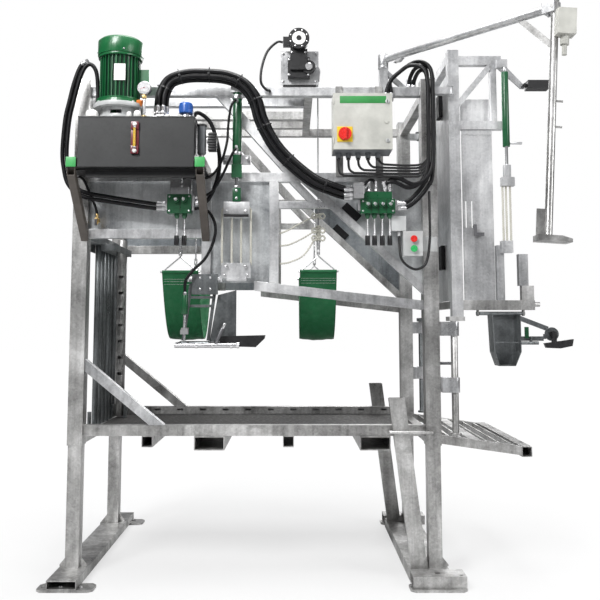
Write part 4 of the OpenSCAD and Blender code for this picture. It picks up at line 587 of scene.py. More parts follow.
THIN = {
    "ram_hose_low": metres(
        (-98, -589.5, 2247), (-99, -604, 2245), (-116, -612, 2218), (-140, -604, 2168),
        (-172, -596, 2100), (-222, -590, 2020), (-272, -583, 1990), (-302, -581, 1984),
        (-318.5, -581, 1984)),
    "ram_hose_high": metres(
        (-98, -589.5, 2512), (-101, -604, 2510), (-126, -608, 2474), (-141, -600, 2380),
        (-148, -598, 2280), (-178, -604, 2170), (-226, -606, 2100), (-290, -602, 2082),
        (-352, -592, 2094), (-384, -584, 2084), (-391, -583, 2062)),
    "jumper_1": metres((646, -582, 2026), (642, -590, 2058), (622, -596, 2078),
                       (596, -596, 2066), (586, -594, 2040), (577.8, -592, 2030)),
    "jumper_2": metres((608, -582, 2026), (607, -590, 2054), (597, -604, 2068),
                       (584, -612, 2052), (578, -608, 2026), (577.8, -594, 2006)),
    "drain_hose": metres(
        (-964, -600, 2080), (-942, -597, 2094), (-912, -590, 2082), (-892, -574, 2040),
        (-874, -552, 1986), (-858, -536, 1946), (-849, -526, 1906)),
}


def ferrule(piece, line, radius):
    """Union nut and crimped sleeve on a hose, where its line starts."""
    axis = (line[1] - line[0]).normalized()
    piece.hexagon(line[0] + axis * 0.0005, axis, 0.016, radius * 1.28)
    grooves = [(0.016, radius * 1.02)]
    for k in range(5):
        grooves += [(0.019 + k * 0.005, radius * 1.2), (0.0215 + k * 0.005, radius * 1.2),
                    (0.0225 + k * 0.005, radius * 1.12)]
    piece.lathe(line[0], axis, grooves + [(0.046, radius * 1.06)], STEEL, 24)


def hose(name, points, thick=THIN_HOSE_D, sides=12, stands_for=()):
    """Hose with a crimp at each end; the drain's far end is a small valve."""
    path = curve(points)
    piece, ends = Piece(name), Piece(name + "_ends")
    piece.tube(path, thick / 2, HOSE, sides)
    made = piece.done("stall", stands_for, "black_rubber")
    ferrule(ends, path, thick / 2)
    drain = name == "drain_hose"
    if drain:
        ends.rod((-0.849, -0.526, 1.848), Z, 0.057, 0.008, BRASS, 20)
        ends.block((-0.860, -0.538, 1.858), (-0.836, -0.5, 1.882), BRASS, 0.003)
        ends.rod((-0.848, -0.538, 1.87), -Y, 0.014, 0.009, BRASS, 20)
        ends.block((-0.854, -0.557, 1.838), (-0.842, -0.5535, 1.876), TOOL, 0.001)
    else:
        ferrule(ends, path[::-1], thick / 2)
    fitted = ends.done("stall", slot="machined")
    declare(path, thick)


def hoses():
    runs = {f"main_hose_{k + 1}": beside(MAIN, *move) for k, move in enumerate(BUNDLE)}
    runs |= {"post_hose_1": beside(POST, -0.013), "post_hose_2": beside(POST, 0.013),
             "left_hose": LEFT, "right_hose": RIGHT,
             "left_hose_2": beside(LEFT[4:], -0.024, 0.004)}
    for k, apart in ((3, 0.0), (4, 0.0265)):
        bend = Vector((apart - 0.012, 0, apart * 0.7))
        moves = [X * apart] + [bend] * 10 + [Vector()] * 2 + [X * apart] * 2
        runs[f"post_hose_{k}"] = [p + move for p, move in zip(ENTRY, moves)]
    for name, points in runs.items():
        hose(name, points, HOSE_D, 16, ("hydraulic_hoses",) if name == "main_hose_1" else ())
    for name, points in THIN.items():
        hose(name, points)


def ties():
    """Black ties that hold the main bundle and the hoses on the entry post."""
    piece = Piece("hose_ties")
    for path, places, out, wide, deep, thick, count in (
            (curve(MAIN), (14, 22, 31, 40, 48, 55, 62, 70), 0.011, 0.0415, 0.027, 0.0022, 28),
            (curve(POST), (20, 28, 35, 42), 0.0, 0.0262, 0.0135, 0.002, 24)):
        for i in places:
            centre = path[i] - Y * out
            loop = circle(count, sideways(path, i) * wide, Y * deep, extra=1)
            piece.tube([centre + d for d in loop], thick, PLASTIC, 6, False)
            if out:
                piece.block(centre - Vector((0.006, 0.031, 0.005)),
                            centre + Vector((0.006, -0.023, 0.005)), PLASTIC, 0.001)
    piece.done("stall")


def rest_hose():
    path = curve(REST)
    piece = Piece("rest_hose_line")
    piece.tube(path, 0.008, HOSE, 14)
    made = piece.done(None, ("rest_hose",), "black_rubber")
    declare(path, 0.016)
    tuple(path[8])
    tuple(path[-4])
    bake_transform(made)


def cables():
    """Control cables under the cabinet, and those of the buttons and the winch."""
    y, z0 = CABINET.y * 1000 + 80, CABINET.z * 1000
    runs = []
    for i in range(5):
        x, z = CABINET.x * 1000 - 122 + i * 52, z0 - 122 + i * 15
        runs.append((f"control_cable_{i + 1}", 0.013, (
            (x, y, z0 + 10), (x, y, z0 - 26), (x + 4, y, z + 26), (x + 24, y, z + 4),
            (x + 60, y + 2, z), (820, y + 10, z - 2), (880, y + 20, z + 6),
            (915, y + 32, z + 40))))
    y, z = BUTTONS_Y * 1000, BUTTONS_Z * 1000
    runs.append(("button_cable", 0.014, (
        (770, y + 22, z + 39), (772, y + 16, z - 20), (778, y + 6, z - 80),
        (812, y, z - 122), (862, y, z - 138), (910, y, z - 100), (930, y, z + 20),
        (932, y + 4, z + 160), (932, y + 6, 2022))))
    z = ROOF_Z * 1000
    runs.append(("winch_cable", 0.014, (
        (148.2, -530, z + 238), (116, -530, z + 238), (64, -538, z + 182),
        (34, -543, z + 90), (30, -540, z + 10), (56, -522, z - 24), (74, -504, z - 26),
        (76, -491, z - 26))))
    for name, thick, points in runs:
        path = curve(metres(*points))
        piece = Piece(name)
        piece.tube(path, thick / 2, CABLE)
        made = piece.done("stall", ("cables",) if name == "control_cable_1" else (),
                          "black_plastic")
        declare(path, thick)


# Ropes

def tackle(name, node, xs, y, low, high):
    """Parallel straight ropes between two blocks."""
    for k, x in enumerate(xs):
        ends = (x, y, low), (x, y, high)
        path = straight(*ends, 40)
        piece = Piece(f"{name}_{k + 1}")
        piece.strands(path, ROPE_R, pitch=0.036)
        made = piece.done(None, (node,) if k == 0 else (), "pale_rope")
        declare(path, 2 * ROPE_R)
        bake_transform(made)


def winch_line():
    path = straight((LINE_X, LINE_Y, LINE_HIGH.z), (LINE_X, LINE_Y, LINE_LOW.z), 120)
    piece = Piece("winch_line")
    piece.strands(path, 0.004, WIRE, 6, 0.05, 0.36, 6)
    piece.tube(path, 0.0018, WIRE, 6)
    made = piece.done(None, ("winch_rope",), "steel_rope")
    declare(path, 0.008)
    tuple(path[0])
    tuple(path[-1])
    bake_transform(made)


def lashings():
    """White ropes from the column to knots above the hook."""
    foot = LINE_LOW.z
    knots = Piece("rope_knots", (LINE_X, LINE_Y, 0))
    for z, turns in ((1.915, 2), (1.835, 4), (foot + 0.012, 3)):
        knots.strands([d * 0.0105 + Z * (z + (k / 20 - turns / 2) * 0.0125)
                       for k, d in enumerate(circle(20, extra=20 * turns - 19))], 0.006)
        for s in (-1, 1):
            knots.strands(curve([Vector((s * a, -b, z + c)) for a, b, c in (
                (0.008, 0.012, 0.0), (0.024, 0.02, 0.012), (0.036, 0.022, -0.002),
                (0.026, 0.022, -0.016), (0.008, 0.017, -0.006))]), 0.0055)
    knots.done("winch_hook", slot="pale_rope")
    x, y = LINE_X * 1000 - 18, LINE_Y * 1000 - 8
    for k, points in enumerate((
            ((133, -466, 1806), (178, -444, 1826), (250, -404, 1872), (x, y, 1914)),
            ((133, -466, 1738), (186, -444, 1748), (262, -404, 1788), (x, y, 1833)),
            ((133, -466, 1640), (190, -444, 1652), (264, -400, 1694),
             (x, y, foot * 1000 + 10)))):
        path = curve(metres(*points))
        piece = Piece(f"lashing_{k + 1}")
        piece.strands(path, 0.006)
        made = piece.done(slot="pale_rope")
        declare(path, 0.012)
        tuple(path[0])
        tuple(path[-1])
        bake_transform(made)


def drum():
    """Winch drum with its shaft, cheeks and the wire rope wound on it."""
    turns, radius = 8, 0.055
    width = turns * WIRE_PITCH + 0.014
    cheek = width / 2 + 0.002
    low, high = (corner.y - DRUM.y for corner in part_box("winch_drum"))
    piece = Piece("winding_drum", DRUM)
    piece.rod(Y * low, Y, high - low, 0.015, STEEL)
    piece.rod(Y * -cheek, Y, 2 * cheek, 0.0506, GREY, 48)
    for s in (-1, 1):
        base = Y * (s * cheek - 0.002)
        piece.lathe(base, Y, [(0, 0.062), (0, 0.0665), (0.001, 0.068), (0.003, 0.068),
                              (0.004, 0.0665), (0.004, 0.062)], STEEL, 64)
        outside = base + Y * (0.004 if s > 0 else 0)
        piece.bolts(Y * s, 0.005, *[outside + d * 0.032 for d in circle(6, X, Z)])
    wound = [d * radius + Y * ((i / 36 - turns / 2) * WIRE_PITCH)
             for i, d in enumerate(circle(36, X, -Z, extra=36 * turns - 35))]
    piece.strands(wound, 0.004, WIRE, 5, 0.05, 0.4, 5)
    piece.tube(wound, 0.0028, WIRE, 6)
    piece.done("drum", ("winch_drum",), "machined")


# Belly bands

CORNERS = ((0, 0), (1, 0), (1, 1), (0, 1))


def hang(s):
    """Height of a band at the share s of its span."""
    return LIP_Z - 4 * SAG * s * (1 - s)


def band(name, node, body, x, near, far, holds):
    """Webbing sling with hems round its lip bars, creased a little across."""
    along, across = 72, 24
    row, sheet = across + 1, (along + 1) * (across + 1)
    line = [(near + i / along * (far - near), hang(i / along)) for i in range(along + 1)]
    flat = [0.0]
    for a, b in zip(line, line[1:]):
        flat.append(flat[-1] + math.dist(a, b))
    points = []
    for side in (1, -1):
        for i, (y, z) in enumerate(line):
            a, b = line[max(i - 1, 0)], line[min(i + 1, along)]
            t = Vector((0, b[0] - a[0], b[1] - a[1])).normalized()
            n = Vector((0, -t.z, t.y))
            s = i / along
            for j in range(row):
                u = j / across
                cup = 0.006 * (2 * u - 1) ** 2 * math.sin(math.pi * s)
                crease = 0.0012 * math.sin(9 * u + 14 * s) + 0.0008 * math.sin(23 * u - 9 * s)
                fade = min(1.0, 8 * s, 8 * (1 - s))
                selvage = 0.0006 if j in (0, across) else 0.0
                out = side * (BAND_T / 2 - 0.0012 - selvage) + (cup - 0.003 + crease) * fade
                points.append(Vector((x + (u - 0.5) * BAND_W, y, z)) + n * out)

    # a cell: first corner, its step along and across, whether it faces back, UV
    cells = [(q * sheet + i * row + j, row, 1, q == 1,
              [(BAND_W * (j + dj) / across, flat[i + di]) for dj, di in CORNERS])
             for q in (0, 1) for i in range(along) for j in range(across)]
    cells += [(i * row + j, sheet, row, j > 0,
               [(0, flat[i]), (0, flat[i + 1]), (0, flat[i + 1]), (0, flat[i])])
              for i in range(along) for j in (0, across)]
    cells += [(i * row + j, sheet, 1, i == 0, [(BAND_W * j / across, flat[i])] * 4)
              for i in (0, along) for j in range(across)]
    faces, uvs = [], []
    for a, di, dj, back, uv in cells:
        turn = -1 if back else 1
        faces.append((a, a + dj, a + di + dj, a + di)[::turn])
        uvs.append(uv[::turn])
    piece = Piece(name)
    piece.faces_of(points, faces, WEB, uvs)
    made = piece.done(body, (node,), "green_webbing", 60)

    hems = Piece(name + "_hems", (x, 0, 0))
    for y, inward in ((near, 1), (far, -1)):
        for r, turn in ((0.0092, 1), (0.0062, -1)):
            hems.faces_of(
                [(BAND_W * (j / across - 0.5), y + d.y * r, LIP_Z + 0.007 + d.z * r)
                 for d in circle(16, Y, Z, extra=1) for j in range(row)],
                [(a, a + 1, a + row + 1, a + row)[::turn]
                 for k in range(16) for a in range(k * row, k * row + across)], WEB,
                [[(BAND_W * (j + dj) / across, r * 0.39 * (k + dk)) for dj, dk in CORNERS]
                 for k in range(16) for j in range(across)])
        for d in (0.016, 0.022, 0.03):
            stitch = Vector((0, y + inward * (d - 0.0045), hang(d / (far - near)) - 0.0005))
            for k in range(24):
                start = stitch + X * (k * 0.008 - 0.094)
                hems.tube([start, start + X * 0.005], 0.0006, WHITE, 5)
    hems.done(body)
    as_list(holds)


def ring(piece, x, y, bore):
    """Lip bar, triangle rods and eye that hold one end of a band."""
    piece.origin = Vector((x, y, 0))
    lip = LIP_Z + 0.007
    piece.rod((-BAND_W / 2 - 0.01, 0, lip), X, BAND_W + 0.02, 0.006, BRIGHT, 20)
    for q in (-1, 1):
        piece.tube(straight((q * (BAND_W / 2 - 0.004), 0, lip + 0.001),
                            (q * 0.003, 0, EYE_Z - 0.017), 2), 0.004, BRIGHT, 14)
    piece.block((-0.004, -0.004, EYE_Z - 0.02), (0.004, 0.004, EYE_Z - bore / 2 - 0.003),
                BRIGHT, 0.0008)
    piece.tube([Z * EYE_Z + d * (bore / 2 + 0.00325) for d in circle(28, Y, Z, extra=1)],
               0.00322, BRIGHT, 12, False, X)


def belly_bands():
    rear_x, rope_y, far_y = 0.345, DRUM.y + 4 * WIRE_PITCH, 0.405
    band("front_belly_band", "belly_band_front", "stall", -0.430, -0.300, far_y,
         ["band_rings"])
    rear = Piece("rear_band_rings")
    ring(rear, rear_x, rope_y, 0.016)
    ring(rear, rear_x, far_y, 0.011)
    rear.done("rear_band", slot="machined")
    band("rear_belly_band", "belly_band_rear", "rear_band", rear_x, rope_y, far_y,
         ["rear_band_rings"])


# Front hoist

def front_carriage():
    """Piston rod with the upper tackle block and the ropes over its sheaves."""
    top = -0.232
    axle = top + 0.034
    piece = Piece("front_hoist_carriage", (RAM_X, RAM_Y, BEAM_Z))
    piece.rod((0, 0, -0.07), Z, 0.34, 0.01, CHROME)
    piece.rod((0, 0, 0.248), Z, 0.03, 0.01995, STEEL)
    piece.block((-0.022, -0.02, -0.145), (0.022, 0.02, -0.0704), GREEN, 0.003)
    piece.hexagon((0, 0, -0.0704), Z, 0.012, 0.017)
    piece.bolts(-Y, 0.007, (0, -0.02, -0.086), (0, -0.02, -0.128))
    for face in (-0.016, 0.010):
        piece.block((-0.07, face, top), (0.07, face + 0.006, -0.1454), ZINC_PALE, 0.002)
    for x in (-0.051, 0.051):
        piece.lathe((x, -0.008, axle), Y,
                    [(0, 0.010), (0, 0.0205), (0.0015, 0.0205), (0.004, 0.0188),
                     (0.008, 0.018), (0.012, 0.0188), (0.0145, 0.0205), (0.016, 0.0205),
                     (0.016, 0.010)], STEEL, 40)
        piece.rod((x, -0.022, axle), Y, 0.044, 0.006, BRIGHT, 20)
        piece.bolts(-Y, 0.009, (x, -0.0165, axle))
        over = [Vector((x, 0, axle)) + d * 0.026 for d in circle(48, X, Z)[:25]]
        ends = [Vector((x + dx, 0, top + 0.0004)) for dx in (0.026, -0.026)]
        piece.strands([ends[0], *over, ends[1]], ROPE_R, pitch=0.036)
    piece.rod((-0.066, -0.0252, top + 0.011), X, 0.132, 0.0085, PLASTIC, 24)
    piece.done("front_rod", ("front_hoist_rod",), "machined")


# Fittings on the tank

def gauge(piece, centre, radius):
    """Dial gauge that faces the working side, with plain ticks and a pointer."""
    piece.lathe(centre + Y * 0.036, -Y, [(0, radius * 0.7), (0.002, radius * 0.92),
                (0.008, radius), (0.03, radius), (0.034, radius * 0.96),
                (0.036, radius * 0.9)], STEEL, 56)
    piece.lathe(centre + Y * 0.0012, -Y, [(0, radius * 0.86), (0.0008, radius * 0.86)],
                WHITE, 56)
    for k, d in enumerate(circle(36, X, -Z, -225)[:28]):
        inner = 0.68 if k % 3 else 0.58
        piece.tube([centre + d * radius * share + Y * 0.0002 for share in (0.78, inner)],
                   0.0006, PLASTIC, 5)
    d = circle(1, X, Z, 200)[0] * radius
    piece.tube([centre + d * share - Y * 0.001 for share in (-0.2, 0.6)], 0.0009, RED, 6)
    piece.rod(centre, -Y, 0.0025, 0.003, PLASTIC, 16, 0.0004)
    piece.lathe(centre - Y * 0.0004, -Y, [(0, radius * 0.87), (0.0014, radius * 0.87)],
                GLASS, 56)


def tank_fittings():
    """Level gauge, dial, caps, ports, breather and filter."""
    piece = Piece("tank_fitting_set", (-0.596, TANK_LOW.y, TANK_LOW.z))
    for low, high, out, edge in ((0.0655, 0.106, 0.012, 0.003), (0.190, 0.2305, 0.012, 0.003),
                                 (0.10, 0.196, 0.005, 0.001)):
        piece.block((-0.02, -out, low), (0.02, -0.0004, high), MAROON, edge)
    for z in (0.080, 0.216):
        piece.lathe((0, -0.0125, z), -Y, [(0, 0.011), (0.002, 0.011), (0.004, 0.009),
                    (0.006, 0.0085), (0.008, 0.007)], WHITE, 24)
    for z, r, h, look in ((0.094, 0.0068, 0.108, OIL), (0.0935, 0.0074, 0.006, BRIGHT),
                          (0.197, 0.0074, 0.006, BRIGHT)):
        piece.lathe((0, -0.0175, z), Z, [(0, r), (h, r)], look, 24)

    piece.origin = LID
    gap = 0.0004
    gauge(piece, Vector((-0.562, -0.094, 0.158)), 0.036)
    piece.rod((-0.562, -0.078, gap), Z, 0.124, 0.007, STEEL, 24)
    piece.hexagon((-0.562, -0.078, gap), Z, 0.014, 0.0145, BRASS)
    piece.hexagon((-0.562, -0.078, 0.104), Z, 0.018, 0.0125, BRASS)
    piece.block((-0.542, -0.02, gap), (-0.438, 0.044, 0.03), STEEL, 0.002)
    for across, out in BUNDLE:
        piece.hexagon((-0.490 - across, 0.025 + out, 0.0295), Z, 0.0125, 0.0115)
    for x in (-0.330, -0.840):
        piece.rod((x, 0.085, gap), Z, 0.028, 0.013, STEEL, 24)
    piece.rod((-0.590, -0.052, gap), Z, 0.07, 0.0065, STEEL, 20)
    piece.lathe((-0.590, -0.052, 0.066), Z, [(0, 0.007), (0.004, 0.009), (0.026, 0.02),
                (0.032, 0.0205), (0.035, 0.018)], ORANGE, 28)
    for x, y, r, h in ((-0.826, -0.09, 0.032, 0.042), (-0.634, -0.1, 0.014, 0.03),
                       (-0.592, -0.1, 0.019, 0.036)):
        piece.lathe((x, y, gap), Z, [(0, r * 0.9), (0.003, r), (h * 0.55, r),
                    (h * 0.8, r * 0.86), (h * 0.94, r * 0.6), (h, r * 0.3)], WHITE, 36)
    for x in (-0.480, -0.440):
        piece.lathe((x, -0.09, gap), Z, [(0, 0.013), (0.004, 0.0135), (0.014, 0.013),
                    (0.016, 0.011)], WHITE, 24)

    # breather with a knurled rim
    breather = Vector((-0.360, 0.02, 0))
    piece.rod(breather - Z * 0.03, Z, 0.081, 0.021, BRIGHT)
    piece.lathe(breather + Z * 0.05, Z, [(0.0, 0.032), (0.004, 0.036), (0.046, 0.036),
                (0.054, 0.034), (0.059, 0.027)], BLUE, 64)
    for d in circle(36):
        rib = breather + d * 0.036 + Z * 0.056
        piece.tube([rib, rib + Z * 0.036], 0.0012, BLUE, 5)

    # return filter beside the tank, and the ribbed solenoid on its head
    piece.origin = Vector((-0.270, LID.y - 0.02, TANK_LOW.z))
    piece.rod((0, 0, 0.0504), Z, 0.032, 0.013, STEEL, 24)
    piece.lathe((0, 0, 0.082), Z, [(0, 0.014), (0.006, 0.021), (0.012, 0.023),
                (0.149, 0.023)], GREY, 40)
    piece.lathe((0, 0, 0.231), Z, [(0, 0.026), (0.011, 0.026), (0.014, 0.022)], BLACK, 12)
    piece.block((0.026, -0.012, 0.146), (0.034, 0.012, 0.17), STEEL, 0.001)
    for k in range(7):
        z = 0.104 + k * 0.0135
        piece.block((0.034, -0.022, z), (0.078, 0.022, z + 0.0095), PLASTIC)
    piece.block((0.036, -0.019, 0.102), (0.075, 0.019, 0.199), PLASTIC, 0.001)
    piece.done("stall", ("tank_fittings",), "machined")


# Bolts, caps, plates and other small things fixed to the frame

def skid_bolts():
    piece = Piece("frame_bolts")
    piece.bolts(Z, 0.011, *[(sx * x, sy * 0.667, 0.0124)
                            for sx in (-1, 1) for sy in (-1, 1) for x in (0.85, 0.95)])
    piece.done("undercarriage")


def pack_bolts():
    """Bolts of the tank's lid and the motor, and the motor's tie rods."""
    piece = Piece("pack_bolts", MOTOR)
    lid = TANK_HIGH.z - MOTOR.z
    piece.bolts(Z, 0.007, *[(x - MOTOR.x, y, lid) for x in (-0.86, -0.72, -0.46, -0.32)
                            for y in (-0.112, 0.112)])
    piece.bolts(Z, 0.008, *[d * 0.1245 + Z * 0.0224 for d in circle(4, first=45)])
    piece.bolts(Z, 0.006, *[d * 0.105 + Z * (lid + 0.014) for d in circle(6, first=30)])
    for d in circle(4, first=20):
        piece.bolts(d, 0.005, d * 0.1172 + Z * 0.3)
    for d in circle(6, first=30):
        piece.tube([d * 0.1 + Z * 0.05, d * 0.1 + Z * 0.27], 0.0052, LEAF_GREEN, 8)
        piece.bolts(Z, 0.006, d * 0.1 + Z * 0.27)
    piece.lathe(Z * 0.0224, Z, [(0, 0.112), (0.006, 0.112), (0.02, 0.1195),
                (0.027, 0.1195), (0.0275, 0.1181)], LEAF_GREEN, 56)
    piece.done("stall")


def arm_caps():
    piece = Piece("arm_caps")
    for x in (-HALF_X + 0.068, -0.267):
        piece.block((x - 0.0255, -0.8125, BEAM_Z - 0.0075),
                    (x + 0.0255, -0.8066, BEAM_Z + 0.0435), MINT, 0.002)
    piece.done("stall", slot="green_plastic")


def winch_face():
    """White end ring of the winch motor, bolts of its plate and gearbox."""
    face = Vector((0.236, -0.5894, 0.24))
    piece = Piece("winch_fittings", (0, 0, ROOF_Z))
    piece.lathe(face, -Y, [(0, 0.014), (0, 0.036), (0.002, 0.037), (0.004, 0.036),
                           (0.004, 0.015)], WHITE, 48)
    piece.lathe(face, -Y, [(0, 0.0135), (0.007, 0.0135), (0.009, 0.011)], PLASTIC)
    piece.bolts(-Y, 0.005, *[face + d * 0.047 for d in circle(8, X, Z, 22.5)])
    piece.bolts(-Y, 0.0075, *[(x, -0.4914, z) for x, z in (
        (0.150, 0.03), (0.332, 0.03), (0.332, 0.185), (0.150, 0.185), (0.332, 0.11))])
    piece.bolts(-Y, 0.006, *[(x, -0.5393, z) for z in (0.052, 0.138) for x in (0.184, 0.288)],
                *[(x, -0.5573, 0.172) for x in (0.2, 0.272)])
    piece.lathe((0.290, -0.5494, 0.094), -Y, [(0, 0.02), (0.008, 0.02), (0.011, 0.016)], STEEL)
    piece.done("stall")


def valve_details():
    """Section seams, tie bolts, spool caps, lever collars and ports of both valves."""
    piece = Piece("valve_fittings", (0, -0.600, LEVER_Z))
    for x0, x1, top, xs in ((-0.462, -0.334, 0.110, (-0.413, -0.373)),
                            (0.562, 0.744, 0.084, (0.599, 0.636, 0.677, 0.717))):
        for x in [(a + b) / 2 for a, b in zip(xs, xs[1:])]:
            piece.block((x - 0.0012, -0.0016, 0.01), (x + 0.0012, -0.0004, top - 0.002),
                        PLASTIC, 0.0003)
        piece.bolts(-Y, 0.005, *[(x, -0.0004, z) for x in (x0 + 0.012, x1 - 0.012)
                                 for z in (0.02, top - 0.012)])
        for x in xs:
            piece.hexagon((x, -0.0224, top - 0.03), -Y, 0.007, 0.0095)
            piece.lathe((x, 0.03, 0.0076), -Z, [(0, 0.0135), (0.006, 0.0145),
                        (0.016, 0.0125), (0.022, 0.0082), (0.026, 0.0062)], GREEN, 24)
        piece.bolts(Z, 0.006, *[(x, 0.04, top + 0.0402) for x in (
            x0 + 0.03, (x0 + x1) / 2, x1 - 0.03)])
    for x in (0.608, 0.646, 0.694, 0.7205, -0.391):
        piece.hexagon((x, 0.018, (0.110 if x < 0 else 0.084) + 0.0404), Z, 0.011, 0.0095)
    piece.done("stall", slot="machined")


def ram_details():
    """Collars and port elbows of the front hoist's ram, bolts of its blocks."""
    piece = Piece("ram_fittings", (RAM_X, RAM_Y, BEAM_Z))
    for z, h in ((0.109, 0.018), (0.418, 0.022)):
        piece.lathe((0, 0, z), Z, [(0, 0.0256), (0, 0.0275), (0.002, 0.0285),
                    (h - 0.002, 0.0285), (h, 0.0275), (h, 0.0256)], BRIGHT, 40, True)
    for z in (0.135, 0.40):
        piece.rod((0, -0.0252, z), -Y, 0.012, 0.009, BRIGHT, 24)
        piece.hexagon((0, -0.037, z), -Y, 0.012, 0.0105)
    low = TACKLE_LOW - BEAM_Z
    for s in (-1, 1):
        for size, *place in ((0.009, s * 0.06, -0.0344, 0.083),
                             (0.007, s * 0.06, -0.0166, low - 0.055),
                             (0.009, s * 0.051, -0.0224, low - 0.01)):
            piece.bolts(-Y, size, place)
    piece.done("stall", slot="machined")


def rest_details():
    """Front tube of the front hoof rest with its bracket and lever, and plate bolts."""
    piece = Piece("rest_fittings")
    y, z = -0.636, 1.206
    piece.rod((-0.406, y, z), X, 0.318, 0.0125, STEEL, 28)
    for x in (-0.3, -0.215, -0.12):
        piece.rod((x, y, z), X, 0.012, 0.0145, BRIGHT, 28)
    piece.hexagon((-0.088, y, z), X, 0.014, 0.015)
    piece.block((-0.4, -0.645, 1.199), (-0.386, -0.5, 1.222), TOOL, 0.002)
    lean, foot = Vector((0.42, 0.0, 0.9)).normalized(), Vector((-0.196, -0.6362, 1.216))
    piece.rod(foot, lean, 0.085, 0.0105, TOOL, 24)
    piece.rod(foot + lean * 0.085, lean, 0.03, 0.0085, BRIGHT, 24)
    piece.bolts(-Y, 0.006, *[(x, -0.5354, z) for z in (1.5, 1.56) for x in (-0.29, -0.235)])
    piece.done("front_rest", slot="machined")


def cabinet_details():
    """Cable glands, and the blank strip and two locks of the door."""
    piece = Piece("cabinet_fittings", CABINET)
    for i in range(5):
        piece.lathe((i * 0.052 - 0.122, 0.08, -0.0266), -Z, [(0, 0.0062), (0, 0.010),
                    (0.006, 0.0115), (0.012, 0.0085), (0.014, 0.0062)], PLASTIC, 24)
    piece.done("stall")
    door = Piece("door_fittings", CABINET - Y * 0.014)
    door.block((-0.119, -0.0012, 0.243), (0.122, -0.0002, 0.281), STRIP, 0.0003)
    for z in (0.045, 0.252):
        door.rod((0.128, -0.0003, z), -Y, 0.006, 0.011, PALE_GREY, 24)
        door.block((0.1265, -0.0072, z - 0.008), (0.1295, -0.0058, z + 0.008), PLASTIC,
                   0.0004)
    door.done("door")


hoses()
ties()
rest_hose()
cables()
tackle("front_tackle_rope", "front_hoist_ropes", (-0.175, -0.123, -0.073, -0.021), RAM_Y,
       TACKLE_LOW, 1.880)
tackle("rear_tackle_rope", "rear_hoist_ropes", (1.332, 1.350, 1.372), -0.530, 1.7584,
       2.0536)
for make in (winch_line, lashings, drum, belly_bands, front_carriage, tank_fittings,
             skid_bolts, pack_bolts, winch_face, valve_details, ram_details, rest_details,
             arm_caps, cabinet_details):
    make()


# CAD nodes that stay: finish by loose solid, softened edges

def islands(mesh):
    """Loose solids of a mesh: (faces, lowest corner, highest corner) of each."""
    ends = list(range(len(mesh.vertices)))

    def root(i):
        while ends[i] != i:
            ends[i] = ends[ends[i]]
            i = ends[i]
        return i

    seen = {}
    for v in mesh.vertices:
        key = tuple(round(c, 5) for c in v.co)
        ends[root(v.index)] = root(seen.setdefault(key, v.index))
    for f in mesh.polygons:
        for v in f.vertices[1:]:
            ends[root(v)] = root(f.vertices[0])
    found = {}
    for f in mesh.polygons:
        found.setdefault(root(f.vertices[0]), []).append(f.index)
    for faces in found.values():
        points = [mesh.vertices[v].co for i in faces for v in mesh.polygons[i].vertices]
        yield faces, *(Vector([pick(p[k] for p in points) for k in range(3)])
                       for pick in (min, max))


def finish(name, material, edge=0.0015, rules=(), by_face=()):
    """Gives a CAD node its materials. A rule is (material, test): the test gets the
    centre and size of each loose solid, or each face's centre for a rule by face."""
    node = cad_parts[name]
    mesh = node.data
    mesh.materials.clear()
    for m in (material, *[m for m, _ in (*rules, *by_face)]):
        mesh.materials.append(m)
    for faces, low, high in islands(mesh) if rules else ():
        for k, (_, test) in enumerate(rules, 1):
            if test((low + high) / 2, high - low):
                for i in faces:
                    mesh.polygons[i].material_index = k
                break
    for f in mesh.polygons if by_face else ():
        for k, (_, test) in enumerate(by_face, 1 + len(rules)):
            if test(f.center):
                f.material_index = k
    if edge:
        weld = node.modifiers.new("weld", "WELD")
        weld.merge_threshold = 0.00001
        flat = node.modifiers.new("flat", "DECIMATE")
        flat.decimate_type, flat.angle_limit = "DISSOLVE", math.radians(0.6)
        soft = node.modifiers.new("edge", "BEVEL")
        soft.width, soft.segments, soft.angle_limit = edge, 2, math.radians(38)
        soft.limit_method, soft.harden_normals = "ANGLE", True


